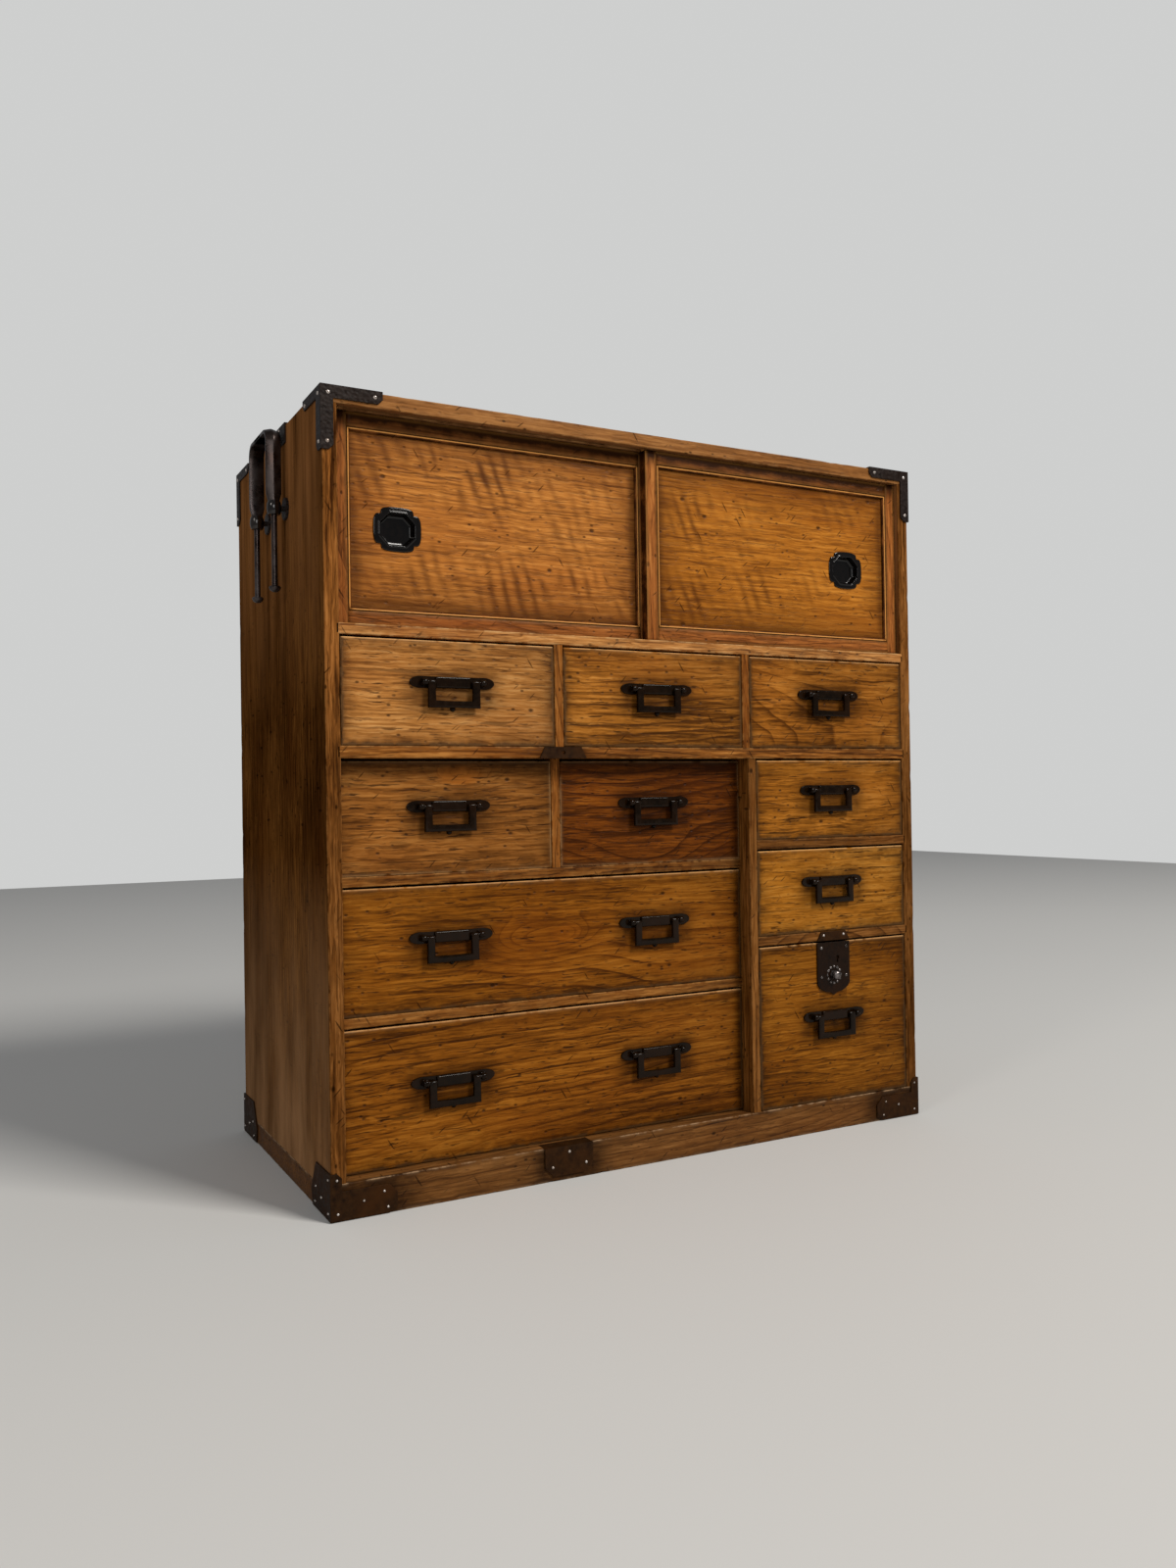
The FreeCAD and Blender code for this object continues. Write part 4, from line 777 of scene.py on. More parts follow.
def handle_soil(name, right_end, shaded_head):
    """Grime rubbed in by hands round each handle, heaviest just under and beside its plate, a slow darkening towards
    the right-hand end, and a painted shadow under a shelf that stands out over the front."""
    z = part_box("mounts_" + name)[1].z - plate_rise
    end_fade, grip_half, grip_fade, grip_drop, grip_tall, drop_fade = 0.060, 0.030, 0.012, 0.006, 0.010, 0.009

    def soil(points):
        total = 0.48 * np.exp(-(right_end - points[:, 0]) / end_fade)
        for _, x in handle_places(name):
            dx = np.clip(np.abs(points[:, 0] - x) - grip_half, 0, None) / grip_fade
            dz = np.clip(np.abs(points[:, 2] - z + grip_drop) - grip_tall, 0, None) / drop_fade
            total += 0.85 * np.exp(-(dx ** 2 + dz ** 2))
        # painted shadow at the head of a drawer that sits back under a shelf
        shelf_shadow = 0.0 if shaded_head is None else 1.3 * np.exp(-(shaded_head - points[:, 2]) / (6 * mm))
        return np.clip(total, 0, 1) + shelf_shadow
    return soil


for name, (dark, body, light, own_look) in drawer_fronts.items():
    low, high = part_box("drawer_" + name)
    rear, deck, lap = low.y + front_thick, low.z + deck_thick, low.y + front_lap
    x0, x1, y0, y1, z0, z1 = low.x, high.x, low.y, high.y, low.z, high.z
    pale = tuple(0.75 * c + 0.5 * d for c, d in zip(light, (0.80, 0.52, 0.26)))
    wood = oiled_wood("%s_front_wood" % name, dark, body, light, pale=pale, **{**front_look, **own_look})
    front_boards = [[planed_block((x0, y0, z0), (x1, lap, z1), 0.9 * mm, 4.5 * mm, "y+", 0.5 * mm, 70 + len(name)),
                     planed_block((x0 + cheek, lap, deck), (x1 - cheek, rear, z1), 0.4 * mm, 25 * mm, "y-", 0.0, 70)]]
    if name == "lock":
        # the front is hollowed from behind the plate for the lock's iron case
        case_x0, case_x1 = [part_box("lock_plate")[i].x + s * lock_case_margin for i, s in ((0, 1), (1, -1))]
        case_low, case_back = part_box("lock_bolt")[1].z - lock_case_tall, y0 + lock_case_back
        pieces = [((x0, y0, z0), (case_x0, lap, z1), "y+x+"), ((case_x1, y0, z0), (x1, lap, z1), "y+x-"),
                  ((case_x0, y0, z0), (case_x1, lap, case_low), "y+x-x+"),
                  ((x0 + cheek, lap, deck), (case_x0, case_back, z1), "y-y+x+"),
                  ((case_x1, lap, deck), (x1 - cheek, case_back, z1), "y-y+x-"),
                  ((case_x0, lap, deck), (case_x1, case_back, case_low), "y-y+x-x+"),
                  ((x0 + cheek, case_back, deck), (x1 - cheek, rear, z1), "y-")]
        front_boards = [[planed_block(a, b, 0.9 * mm, 4.5 * mm, hard, 0.5 * mm, 75) for a, b, hard in pieces]]
    sheltered = name.startswith("bank")
    assemble("drawer_%s_front" % name, front_boards, wood, "drawer_" + name, "drawer_" + name,
             handle_soil(name, x1, z1 if sheltered else None), 9.0 * mm, chosen_plank.get(name),
             None if sheltered else z1)
    finger = (z1 - deck) / fingers
    levels = [(deck + i * finger, deck + (i + 1) * finger) for i in range(fingers)]
    ends = ((x0, x0 + cheek, "x+"), (x1 - cheek, x1, "x-"))
    boards = []
    for a, b, _ in ends:
        boards.append([planed_block((a, lap, deck), (b, y1 - tail, z1), 0.4 * mm, 20 * mm, "y+", seed=80)]
                      + [planed_block((a, y1 - tail, c), (b, y1, d), 0.25 * mm, 20 * mm, "y-", seed=81)
                         for c, d in levels[::2]])
    boards.append([planed_block((x0 + cheek, y1 - tail, deck), (x1 - cheek, y1, z1), 0.4 * mm, 20 * mm, "x-x+",
                                seed=82)]
                  + [planed_block((a, y1 - tail, c), (b, y1, d), 0.25 * mm, 20 * mm, seam, seed=83)
                     for c, d in levels[1::2] for a, b, seam in ends])
    boards.append([planed_block((x0, lap, z0), (x1, y1, deck), 0.4 * mm, 25 * mm, seed=84)])
    assemble("drawer_%s_boards" % name, boards, plain_wood, "drawer_" + name)

# ---- drop handles -------------------------------------------------------------------------------
# Forged iron. A leaf-ended strip lies against the drawer with a bevelled bar down its middle; two
# barrel knuckles stand on it and hold the square drop bail, which rests on a small striker stud.


def forged_iron(name, dark, light, rust, rough, hammer, size, metal=0.0, shine=0.35):
    """Hand-forged iron: blackened, with a brown bloom of rust in clouds, rubbed brighter here and
    there, and hammered, so its highlights break up."""
    shop = Shop(name)
    place = shop.here()
    bloom = shop.cloud(place, size, 5.0, 0.62)
    broad = shop.cloud(place, size * 0.2, 3.0, 0.6)
    colour = shop.tones(bloom, (0.28, dark), (0.72, light))
    colour = shop.blend(shop.span(broad, 0.42, 0.68, 0.0, 0.75), colour, rust)
    dimples = shop.cells(place, size * 1.3, "SMOOTH_F1", Smoothness=0.6)
    grit = shop.cloud(place, size * 9.0, 3.0, 0.6)
    bump = shop.add("Bump", Strength=hammer, Distance=0.0007, Height=dimples + grit * 0.14)
    return shop.dress(Base_Color=colour, Metallic=shop.span(bloom, 0.35, 0.7, metal, metal * 0.5),
                      Roughness=shop.span(bloom, 0.3, 0.7, rough - 0.08, rough + 0.16), Normal=bump,
                      Specular_IOR_Level=shine)


handle_iron = forged_iron("handle_iron", (0.0025, 0.0014, 0.0007), (0.009, 0.0042, 0.0014), (0.012, 0.0045, 0.0012),
                          0.12, 0.07, 200.0, shine=0.11)


def turned(profile, centre, along="z", sides=28):
    """A turned shape: a profile of (radius, distance) points swung round a line through a centre."""
    angle = np.linspace(0.0, 2 * np.pi, sides, endpoint=False)
    r, h = np.array(profile, float).T
    ring = np.stack([np.outer(r, np.cos(angle)), np.outer(r, np.sin(angle)),
                     np.broadcast_to(h[:, None], (len(r), sides))], -1)
    order = {"z": (0, 1, 2), "x": (2, 0, 1), "y": (1, 2, 0)}[along]
    return skin_of(ring[..., list(order)] + np.array(centre))


def peg(radius, ends, centre, along="x", sides=28):
    """A plain round pin between two places on its line."""
    a, b = sorted(ends)
    return turned([(0.0, a), (radius, a), (radius, b), (0.0, b)], centre, along, sides)


def dome(radius, height):
    """Profile of a hammered nail head or stud: a flattened quarter circle closed at its crown."""
    return [(0.0, 0.0)] + [(radius * np.cos(a), height * np.sin(a) ** 0.8) for a in np.linspace(0.0, np.pi / 2, 5)]


def cushion(outline, base, top, ease, axis="y"):
    """A thin plate seen from its front: outlines, from the back edge over the eased arris and in to
    the middle, each drawn in towards the centre by its own inset."""
    outline = np.array(outline, float)
    centre = outline.mean(0)
    radius = np.linalg.norm(outline - centre, axis=1, keepdims=True)
    way = (outline - centre) / radius
    rise = np.sign(top - base) * ease
    insets = [(0.0, base), (0.0, top - rise), (0.3 * ease, top - 0.3 * rise), (ease, top), (2.4 * ease, top)]
    rings = [way * 0.0] + [way * (radius - inset) for inset, _ in insets] + [way * radius * 0.5, way * 0.0]
    depths = [base] + [depth for _, depth in insets] + [top, top]
    grid = np.stack([np.stack([r[:, 0] + centre[0], np.full(len(r), d), r[:, 1] + centre[1]], -1)
                     for r, d in zip(rings, depths)])
    return skin_of(grid[..., [1, 0, 2]] if axis == "x" else grid)


def smooth_outline(corners, reach):
    """A closed outline whose corners are rounded by quadratic curves of the given reach."""
    corners = np.array(corners, float)
    out = []
    for i, corner in enumerate(corners):
        ends = []
        for near in (corners[i - 1] - corner, corners[(i + 1) % len(corners)] - corner):
            long = np.linalg.norm(near)
            ends.append(corner + near / long * min(reach, 0.49 * long))
        for t in np.linspace(0.0, 1.0, 4):
            out.append((1 - t) ** 2 * ends[0] + 2 * t * (1 - t) * corner + t ** 2 * ends[1])
    return np.array(out)


def forge(name, shells, finish, body, node=None, sharp=None):
    """Shells joined into one piece, which stands in for the fixed model's own node if one is named."""
    piece = finish_mesh(set_in_place(name, *joined(shells), finish, body))
    if sharp:
        piece.data.set_sharp_from_angle(angle=sharp)
    if node:
        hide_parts(node)
    return piece


plate_long, plate_tall, plate_thick, leaf = 75 * mm, 10.2 * mm, 1.6 * mm, 9 * mm
bail_wide, bail_drop, bail_arm, bail_bar, bail_thick = 45.6 * mm, 21 * mm, 6.8 * mm, 6 * mm, 3.2 * mm
pivot_out, pivot_r, knuckle_r, knuckle_wide, side_gap = 4.7 * mm, 1.6 * mm, 2.9 * mm, 4.6 * mm, 0.35 * mm
knuckle_x = bail_wide / 2 + side_gap + knuckle_wide / 2
bar_half, bar_out, stud_r = bail_wide / 2 - bail_arm - 0.5 * mm, 3.6 * mm, 2.3 * mm


def handle_plate(x, face, z):
    """The leaf-ended strip, its bevelled bar, the two knuckles and the striker stud."""
    l, h, half_w = plate_long / 2, plate_tall / 2, knuckle_wide / 2
    # one quarter of the leaf-ended outline, from its tip, and then its three mirror images
    tip = [(l - 2.2 * mm, h * 0.66), (l - leaf * 0.9, h * 0.98), (l - leaf * 1.7, h * 0.92)]
    corners = [(-l, 0)] + [(-a, -b) for a, b in tip] + [(a, -b) for a, b in tip[::-1]] + [(l, 0)] + tip \
        + [(-a, b) for a, b in tip[::-1]]
    outline = smooth_outline(corners, 2.4 * mm) + np.array([x, z])
    shells = [cushion(outline, face, face - plate_thick, 0.45 * mm),
              planed_block((x - bar_half, face - bar_out, z - h * 0.9),
                           (x + bar_half, face - plate_thick * 0.5, z + h * 0.9), 1.5 * mm, 9 * mm, wear=0.0)[:2]]
    pivot, bore = face - pivot_out, pivot_r + 0.05 * mm
    inner_half = [(knuckle_r - 0.5 * mm, -half_w), (knuckle_r - 0.1 * mm, -half_w + 0.5 * mm)]
    barrel = [(bore, -half_w)] + inner_half + [(knuckle_r, 0.0)] + [(r, -k) for r, k in inner_half[::-1]] \
        + [(bore, half_w), (bore, -half_w)]
    for side in (-1, 1):
        cx = x + side * knuckle_x
        shells.append(turned(barrel, (cx, pivot, z), "x"))
        shells.append(planed_block((cx - half_w * 0.92, pivot + 1.75 * mm, z - knuckle_r * 0.93),
                                   (cx + half_w * 0.92, face - plate_thick * 0.4, z + knuckle_r * 0.93),
                                   0.4 * mm, 5 * mm, wear=0.0)[:2])
    stud = [(r, -k) for r, k in dome(stud_r, pivot_out - bail_thick / 2 - 0.3 * mm)]
    shells.append(turned(stud, (x, face, z - bail_drop - 0.5 * mm), "y", 16))
    return shells


def capped(grid):
    """A grid of rings with both its ends drawn in to their middles."""
    middle = np.broadcast_to(grid.mean(1, keepdims=True), grid.shape)
    return np.concatenate([middle[:1], grid, middle[-1:]])


def bail(x, face, z):
    """The bail: a flat bar carried down, across and up with mitred corners, its two eyes rolled
    round, and a pin running out of each eye into its knuckle."""
    y = face - pivot_out
    w, t = bail_wide / 2, bail_thick / 2
    a, b = bail_arm / 2, bail_bar / 2
    angle = np.linspace(0, 2 * np.pi, 24, endpoint=False)
    # a squarish section: a superellipse of power 5, so its arrises are softly rounded
    c, s = np.cos(angle), np.sin(angle)
    size = (np.abs(c) ** 5 + np.abs(s) ** 5) ** -0.2
    u, v = c * size, s * size
    # each section's middle, and how far its points lie across the bar and along its height; the
    # mitre's outer arris is on the outer corner and its inner arris on the inner
    foot = z - bail_drop + b
    arm = ((0.0, 0.90), (-2.5 * mm, 1.0), (-8 * mm, 0.93))
    flat_on = np.zeros(24)
    rows = [(-w + a, z + dz, u * a * g, flat_on) for dz, g in arm]
    rows += [(-w + a, foot, u * a, u * b), (0.0, foot, flat_on, u * b * 0.93), (w - a, foot, -u * a, u * b)]
    rows += [(w - a, z + dz, -u * a * g, flat_on) for dz, g in arm[::-1]]
    grid = np.array([np.stack([x + cx + du, y + v * t, cz + dw], -1) for cx, cz, du, dw in rows])
    shells = [skin_of(capped(grid))]
    for side in (-1, 1):
        edge = x + side * w
        near, far = sorted((edge - side * bail_arm, edge))
        eye = [(0.0, near), (t * 0.9, near), (t, near + 0.4 * mm), (t, far - 0.4 * mm), (t * 0.9, far), (0.0, far)]
        shells.append(turned(eye, (0.0, y, z), "x", 20))
        pin = (edge - side * 0.5 * mm, edge + side * (side_gap + knuckle_wide))
        shells.append(peg(pivot_r, pin, (0.0, y, z), "x", 20))
    return shells


for name in drawer_fronts:
    low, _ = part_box("drawer_" + name)
    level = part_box("mounts_" + name)[1].z - plate_tall / 2
    plates = []
    for suffix, x in handle_places(name):
        plates += handle_plate(x, low.y, level)
        body = "bail_" + name + suffix
        forge(body + "_forged", bail(x, low.y, level), handle_iron, body, body, 0.7)
    forge("mounts_%s_forged" % name, plates, handle_iron, "drawer_" + name, "mounts_" + name, 0.7)

# ---- nails, corner irons and plates -------------------------------------------------------------
# Thin black iron, cut and folded round the corners of the case and along two of its rails, nailed
# on with small domed nails whose heads are rubbed bright.
corner_iron = forged_iron("corner_iron", (0.004, 0.002, 0.0015), (0.026, 0.018, 0.015), (0.010, 0.004, 0.002),
                          0.36, 0.35, 260.0, shine=0.08)
rusty_iron = forged_iron("base_iron", (0.008, 0.003, 0.001), (0.030, 0.012, 0.003), (0.036, 0.012, 0.002),
                         0.50, 0.2, 190.0, shine=0.06)
nail_iron = forged_iron("nail_iron", (0.20, 0.17, 0.15), (0.70, 0.64, 0.60), (0.20, 0.14, 0.10),
                        0.22, 0.3, 300.0, 0.8)
nail_widest, nail_rise = 4.5 * mm, 0.9 * mm


def islands(work):
    """The separate shells of a mesh, each as a list of its points, always in the same order."""
    left, found = dict.fromkeys(work.verts), []
    while left:
        shell = [next(iter(left))]
        del left[shell[0]]
        for vert in shell:
            for link in vert.link_edges:
                for other in link.verts:
                    if other in left:
                        del left[other]
                        shell.append(other)
        found.append(shell)
    return found


def softened(node, finish, body, ease=0.35 * mm):
    """The fixed model's own plate with its triangles joined and its arrises eased; its nails are
    taken off and handed back as places and directions, for domed heads to be put there."""
    name = node + "_forged"
    work = bmesh.new()
    work.from_mesh(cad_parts[node].data)
    bmesh.ops.remove_doubles(work, verts=work.verts, dist=0.01 * mm)
    heads = []
    for shell in islands(work):
        spots = np.array([v.co for v in shell])
        low, high = spots.min(0), spots.max(0)
        size = high - low
        if size.max() > nail_widest:
            continue
        thin = int(np.argmin(size))
        widest = max(shell, key=lambda v: np.linalg.norm(np.delete(np.array(v.co) - spots.mean(0), thin)))
        way = np.sign(spots[:, thin].mean() - widest.co[thin]) or 1.0
        middle = (high + low) / 2
        middle[thin] = low[thin] if way > 0 else high[thin]
        heads.append((middle, thin, way, np.delete(size, thin).max() / 2))
        bmesh.ops.delete(work, geom=shell, context="VERTS")
    bmesh.ops.dissolve_limit(work, angle_limit=0.02, verts=work.verts, edges=work.edges)
    bmesh.ops.recalc_face_normals(work, faces=work.faces)
    mesh = bpy.data.meshes.new(name)
    work.to_mesh(mesh)
    work.free()
    mesh.materials.append(finish)
    piece = bpy.data.objects.new(name, mesh)
    bpy.context.scene.collection.objects.link(piece)
    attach(piece, body)
    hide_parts(node)
    bevel = piece.modifiers.new("eased_edges", "BEVEL")
    bevel.width, bevel.segments = ease, 2
    bevel.limit_method, bevel.angle_limit = "ANGLE", 0.5
    return heads


def drive_nails(name, heads, finish, body, rise=nail_rise, grow=1.0):
    """Domed heads where the nails go in, each facing the way it was driven from."""
    forge(name, [turned([(r, way * h) for r, h in dome(radius * grow, rise)], middle, "xyz"[axis], 14)
                 for middle, axis, way, radius in heads], finish, body)


for node, finish, grow in (("top_corner_irons", corner_iron, 1.05), ("base_corner_irons", rusty_iron, 0.64),
                           ("front_plates", rusty_iron, 0.8)):
    drive_nails(node + "_nails", softened(node, finish, "case"), nail_iron, "case", grow=grow)

# ---- carrying loops -----------------------------------------------------------------------------
# A pole is passed through two iron loops to carry the chest. Each loop is a heavy strap, flat inside
# and ridged outside, bent square; its two rods slide down through ball-headed eyes in the side board
# and end in buttons. A petalled washer lies under each eye and a folded strip guards the top edge.
loop_iron = forged_iron("loop_iron", (0.016, 0.011, 0.010), (0.090, 0.076, 0.074), (0.026, 0.015, 0.011),
                        0.26, 0.08, 55.0, 0.95)
eye_iron = forged_iron("eye_iron", (0.004, 0.0025, 0.002), (0.016, 0.011, 0.009), (0.012, 0.006, 0.003),
                       0.15, 0.02, 60.0, shine=0.5)
strap_wide, strap_edge, strap_ridge, strap_corner = 13 * mm, 3.2 * mm, 5.0 * mm, 11 * mm
shoulder, rod_long, rod_r, button_r, button_tall = 583 * mm, 73 * mm, 2.5 * mm, 5 * mm, 5 * mm
eye_tall, eye_r, rod_gap, shank_r, shank_deep = 11.7 * mm, 6.2 * mm, 0.1 * mm, 2.2 * mm, 6 * mm
washer_r, washer_thick, petals = 9.8 * mm, 2.0 * mm, 12
strip_half, strip_down, strip_in, strip_thick, strip_nails = 34 * mm, 16 * mm, 11 * mm, 1.4 * mm, 15 * mm
eye_centre = shoulder - 0.3 * mm - eye_tall / 2


def strap(pole_x, arms, loop_top):
    """The ridged strap: its section is carried up one arm, round the bend, along the top and, as a
    mirror image, down the other arm."""
    # each station's place on the strap, and the direction that points out of the bend there
    path = [(arms[0], z, -1.0, 0.0) for z in np.linspace(shoulder, loop_top - strap_corner, 9)[:-1]]
    path += [(arms[0] + strap_corner * (1 - np.cos(a)), loop_top - strap_corner + strap_corner * np.sin(a),
              -np.cos(a), np.sin(a)) for a in np.linspace(0, np.pi / 2, 9)]
    path += [(y, loop_top, 0.0, 1.0) for y in np.linspace(arms[0] + strap_corner, arms[1] - strap_corner, 5)[1:-1]]
    path = np.array(path + [(arms[0] + arms[1] - y, z, -a, b) for y, z, a, b in path[::-1]])
    y, z, out_y, out_z = path.T[:, :, None]
    # the section: place across the strap, and height outwards from the middle of its thickness
    half_w, inside, edge, crown = strap_wide / 2, -strap_ridge / 2, strap_edge - strap_ridge / 2, strap_ridge / 2
    fall = (strap_ridge - strap_edge) / half_w
    half_section = [(0.0, inside), (half_w - 0.5 * mm, inside), (half_w - 0.1 * mm, inside + 0.2 * mm),
                    (half_w, inside + 0.7 * mm), (half_w, edge - 0.5 * mm), (half_w - 0.4 * mm, edge)]
    half_section += [(x, crown - fall * x) for x in (half_w - 0.8 * mm, 1.1 * mm, 0.7 * mm)]
    half_section += [(0.0, crown - 0.3 * fall * mm)]
    x, h = np.array(half_section + [(-x, h) for x, h in half_section[::-1] if x > 0]).T
    reach = np.minimum(np.arange(len(path)), np.arange(len(path))[::-1])
    narrow = np.where(reach == 0, 0.72, np.where(reach == 1, 0.98, 1.0))[:, None]
    return capped(np.stack([pole_x + x * narrow, y + out_y * h, z + out_z * h], -1))


for side, name in ((-1, "left"), (1, "right")):
    low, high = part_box("carry_handle_" + name)
    pole_x = (low.x + high.x) / 2
    arms = (low.y + strap_ridge / 2, high.y - strap_ridge / 2)
    foot = shoulder - rod_long
    rod = [(0.0, shoulder + 1 * mm), (rod_r, shoulder + 1 * mm), (rod_r, foot), (button_r * 0.82, foot)]
    rod += [(button_r * share, foot - down) for share, down in (
        (1.0, 0.8 * mm), (1.0, button_tall * 0.35), (0.8, button_tall * 0.72), (0.4, button_tall), (0.0, button_tall))]
    body = "carry_handle_" + name
    forge(body + "_forged", [skin_of(strap(pole_x, arms, high.z - strap_ridge / 2))]
          + [turned(rod, (pole_x, y, 0.0)) for y in arms], loop_iron, body, body, 0.8)

    eyes, washers = [], []
    h, bore, wood = eye_tall / 2, rod_r + rod_gap, side * half
    ball = [(eye_r * (0.66 + 0.34 * np.sqrt(1 - (0.93 * k) ** 2)), k * h) for k in np.linspace(-1.0, 1.0, 9)]
    # the washer's radius swells and narrows once for each petal
    angle = np.linspace(0, 2 * np.pi, 10 * petals, endpoint=False)
    swell = washer_r * (0.88 + 0.12 * np.abs(np.cos(petals / 2 * angle)) ** 0.6)
    for y in arms:
        eyes.append(turned([(bore, -h)] + ball + [(bore, h), (bore, -h)], (pole_x, y, eye_centre), "z", 32))
        eyes.append(peg(shank_r, (pole_x - side * eye_r * 0.62, side * (half - shank_deep)), (0.0, y, eye_centre)))
        petal = np.stack([y + swell * np.cos(angle), eye_centre + swell * np.sin(angle)], -1)
        washers.append(cushion(petal, wood, side * (half + washer_thick), 0.6 * mm, "x"))
    fittings = "carry_handle_fittings" if side < 0 else None
    forge("eyes_%s_forged" % name, eyes, eye_iron, "case", fittings, 0.8)
    forge("washers_%s_forged" % name, washers, corner_iron, "case", fittings, 0.8)

    y, out_x, in_x = (arms[0] + arms[1]) / 2, side * (half + strip_thick), side * (half - strip_in)
    strips = [planed_block((min(a, b), y - strip_half, z), (max(a, b), y + strip_half, top_z + strip_thick),
                           0.35 * mm, 8 * mm, wear=0.0)[:2]
              for a, b, z in ((out_x, wood, top_z - strip_down), (wood, in_x, top_z))]
    forge("edge_strip_%s" % name, strips, corner_iron, "case")
    heads = [(np.array([out_x, y + k * strip_nails, top_z - 1.6 * mm]), 0, side, 1.6 * mm) for k in (-1, 1)]
    drive_nails("edge_strip_%s_nails" % name, heads, nail_iron, "case")

# ---- push lock ----------------------------------------------------------------------------------
# Pressing the domed button lets the bolt go. The iron plate has a shield-shaped foot, a keyhole
# above, and a ring of twelve small bosses, like petals, round the button.
lock_iron = forged_iron("lock_iron", (0.003, 0.0015, 0.0008), (0.012, 0.005, 0.002), (0.014, 0.005, 0.0015),
                        0.30, 0.2, 260.0, shine=0.08)
button_iron = forged_iron("button_iron", (0.012, 0.009, 0.008), (0.30, 0.27, 0.26), (0.03, 0.02, 0.015),
                          0.13, 0.1, 300.0, 0.95)
drive_nails("lock_nails_and_petals", softened("lock_plate", lock_iron, "drawer_lock", 0.3 * mm), button_iron,
            "drawer_lock", 1.1 * mm)
refinish("lock_bolt", button_iron)
low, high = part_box("lock_button")
r = (high.x - low.x) / 2
button = [(0.0, high.y), (r, high.y), (r, low.y + 0.55 * r)]
button += [(r * (0.22 + 0.78 * np.cos(a)), low.y + 0.55 * r * (1 - np.sin(a)))
           for a in np.linspace(0, np.pi / 2, 8)[1:]]
button += [(0.0, low.y)]
forge("lock_button_turned", [turned(button, ((low.x + high.x) / 2, 0.0, (low.z + high.z) / 2), "y", 32)],
      button_iron, "lock_button", "lock_button", 0.9)

# ---- finger pulls -------------------------------------------------------------------------------
# A dished octagonal cup is let into each door under a lobed rim, all black lacquer. The rim swells
# between four small notches and a fine raised bead runs round the mouth.
lacquer = Shop("black_lacquer")
scuffs = lacquer.cloud(lacquer.here(), 260.0, 4.0, 0.6)
lacquer.dress(Base_Color=lacquer.tones(scuffs, (0.3, (0.0008, 0.0006, 0.0005)), (0.8, (0.004, 0.0022, 0.0016))),
              Roughness=lacquer.span(scuffs, 0.3, 0.8, 0.06, 0.13), Specular_IOR_Level=0.3)
pull_wide, pull_tall, notch_deep, notch_spread = 41 * mm, 36.4 * mm, 2.6 * mm, 5.5
mouth_wide, mouth_tall, mouth_cut = 29 * mm, 26 * mm, 7.5 * mm
cup_deep, cup_thick, pull_set = 5.7 * mm, 0.8 * mm, 3 * mm
angle = np.linspace(0, 2 * np.pi, 96, endpoint=False)
c, s = np.cos(angle), np.sin(angle)
round_ish = (np.abs(c) ** 3 + np.abs(s) ** 3) ** (-1 / 3.0)
from_notch = np.abs(np.degrees(angle) % 90.0 - 45.0)
notch = notch_deep * np.exp(-(from_notch / notch_spread) ** 2)
rim = np.stack([(pull_wide / 2 - notch) * round_ish * c, (pull_tall / 2 - notch) * round_ish * s], -1)


def mouth(grow=0.0):
    """The cup's octagonal mouth, grown by a margin: along each angle, how far it is from the centre
    to the nearer of its straight sides and its cut corners."""
    w, h = (mouth_wide + 2 * grow) / 2, (mouth_tall + 2 * grow) / 2
    straight = np.minimum(w / np.maximum(np.abs(c), 1e-6), h / np.maximum(np.abs(s), 1e-6))
    far = np.minimum(straight, (w + h - (mouth_cut + 0.6 * grow)) / (np.abs(c) + np.abs(s)))
    return np.stack([far * c, far * s], -1)


# each ring of the pull and its depth: the cup's back from its middle, the rim, the bead, the dish
outside = mouth(cup_thick)
rings = [(outside * 0.0, cup_deep), (outside * 0.72, cup_deep - 0.05 * mm), (outside * 0.80, cup_deep - 0.5 * mm),
         (outside * 0.95, 2.6 * mm), (outside * 0.995, 0.5 * mm), (outside * 0.995, 0.0)]
rings += [(rim, 0.0), (rim, -0.7 * mm), (rim * 0.985, -1.05 * mm), (rim * 0.955, -1.2 * mm)]
rings += [(mouth(grow * mm), depth * mm) for grow, depth in ((2.0, -1.15), (1.7, -1.25), (1.3, -1.65), (0.6, -1.7),
                                                             (0.1, -1.45), (0.0, -1.0))]
for k in np.linspace(0.12, 1.0, 7):
    share = 1.0 - 0.2 * k ** 1.5 - 0.1 * (k > 0.95)
    rings.append((mouth() * share, (cup_deep - cup_thick) * np.sin(k * np.pi / 2) ** 0.8))
rings.append((mouth() * 0.0, cup_deep - cup_thick))
for name, face in door_faces.items():
    low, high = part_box("door_%s_pull" % name)
    cx, cz, cy = (low.x + high.x) / 2, (low.z + high.z) / 2, face + pull_set
    grid = np.array([np.stack([cx + ring[:, 0], np.full(len(ring), cy + depth), cz + ring[:, 1]], -1)
                     for ring, depth in rings])
    forge("door_%s_pull_lacquered" % name, [skin_of(grid)], lacquer.finish, "door_" + name, "door_%s_pull" % name, 1.0)

# ---- floor and light ----------------------------------------------------------------------------
# A plain pale floor under soft light: a large key high on the right, and the pale room around.
floor_mesh = bpy.data.meshes.new("floor")
floor_mesh.from_pydata([(-4, -4, 0), (4, -4, 0), (4, 4, 0), (-4, 4, 0)], [], [(0, 1, 2, 3)])
floor_mesh.materials.append(Shop("pale_floor").dress(Base_Color=(0.60, 0.60, 0.59, 1.0), Roughness=0.75))
floor = bpy.data.objects.new("floor", floor_mesh)
bpy.context.scene.collection.objects.link(floor)

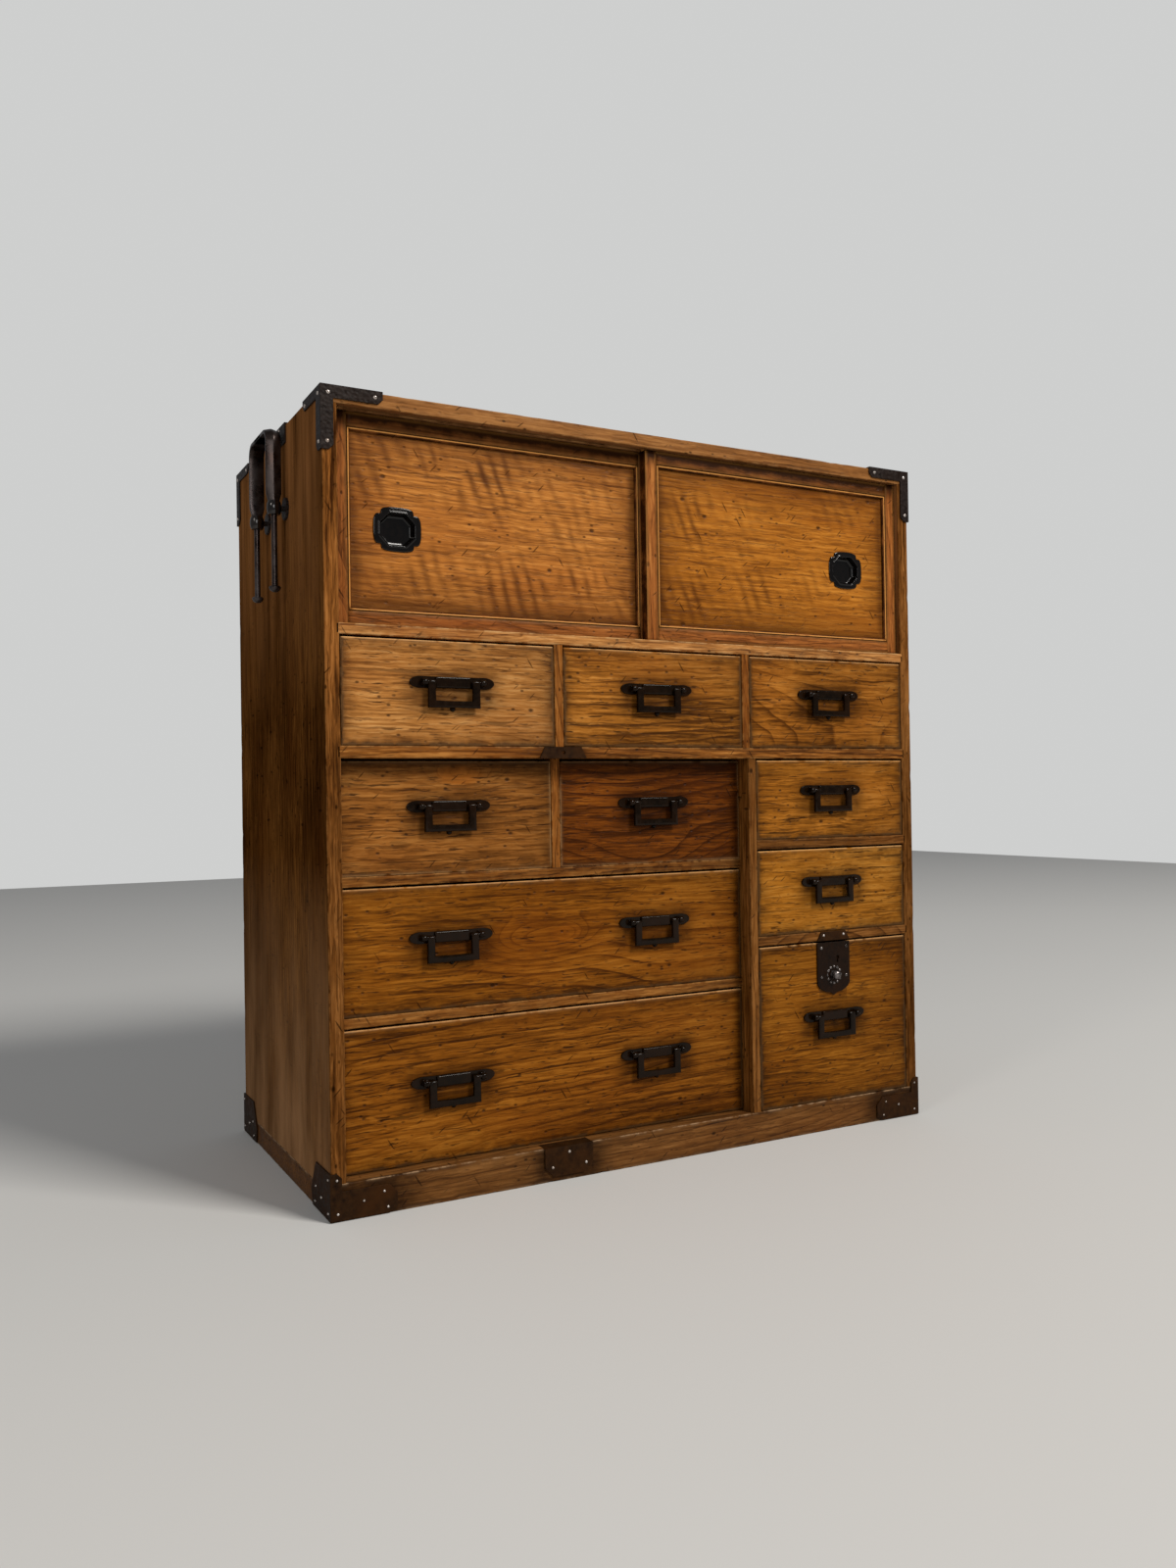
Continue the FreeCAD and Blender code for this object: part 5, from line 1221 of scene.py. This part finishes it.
# the room lights the chest with a faint cool glow, and is seen as a pale wall
room = bpy.data.worlds.new("room")
bpy.context.scene.world = room
room.use_nodes = True
sky = room.node_tree
rays, pick = sky.nodes.new("ShaderNodeLightPath"), sky.nodes.new("ShaderNodeMixShader")
sky.links.new(rays.outputs["Is Camera Ray"], pick.inputs[0])
for socket, glow, colour, strength in ((1, sky.nodes["Background"], (0.95, 0.97, 1.0, 1.0), 0.24),
                                       (2, sky.nodes.new("ShaderNodeBackground"), (0.62, 0.625, 0.62, 1.0), 1.0)):
    glow.inputs["Color"].default_value, glow.inputs["Strength"].default_value = colour, strength
    sky.links.new(glow.outputs[0], pick.inputs[socket])
sky.links.new(pick.outputs[0], sky.nodes["World Output"].inputs["Surface"])


def stand(thing, side, up, away, place):
    """Stands a light or a camera at a place, with the directions of its side, its top and its back."""
    bpy.context.scene.collection.objects.link(thing)
    thing.matrix_world = Matrix([[side[i], up[i], away[i], place[i]] for i in range(3)] + [[0.0, 0.0, 0.0, 1.0]])


for name, place, aim, size, power, colour in (
        ("key", (2.2, -3.8, 4.1), (0.0, 0.0, 0.3), 1.7, 300.0, (1.0, 0.96, 0.90)),
        ("fill", (-1.03, -2.3, 1.2), (0.0, 0.0, 0.3), 0.6, 8.0, (1.0, 0.98, 0.96)),
        ("edge", (-3.2, -1.6, 2.2), (0.0, 0.0, 0.5), 0.7, 17.0, (1.0, 0.93, 0.84))):
    lamp = bpy.data.lights.new(name, "AREA")
    lamp.size, lamp.energy, lamp.color = size, power, colour
    away = np.array(place) - np.array(aim)
    away /= np.linalg.norm(away)
    level = np.cross((0.0, 0.0, 1.0), away)
    level /= np.linalg.norm(level)
    stand(bpy.data.objects.new(name, lamp), level, np.cross(away, level), away, place)
bpy.context.scene.view_settings.view_transform = "Standard"
bpy.context.scene.view_settings.look = "None"

# ---- the view -----------------------------------------------------------------------------------
# A person standing at the chest's front left, with the eye at about half its height, looking a
# little to the right. The lens is a plain wide one and the frame is upright.
yaw, tilt, roll = 0.4952335, 0.0083014, -0.0147841
looking = np.array([np.sin(yaw) * np.cos(tilt), np.cos(yaw) * np.cos(tilt), np.sin(tilt)])
level = np.array([np.cos(yaw), -np.sin(yaw), 0.0])
upright = np.cross(level, looking)
camera = bpy.data.objects.new("view", bpy.data.cameras.new("view"))
stand(camera, level * np.cos(roll) + upright * np.sin(roll), upright * np.cos(roll) - level * np.sin(roll), -looking,
      (-0.562595, -1.055034, 0.328800))
camera.data.lens, camera.data.sensor_width, camera.data.clip_start = 27.408, 36.0, 0.02
bpy.context.scene.camera = camera
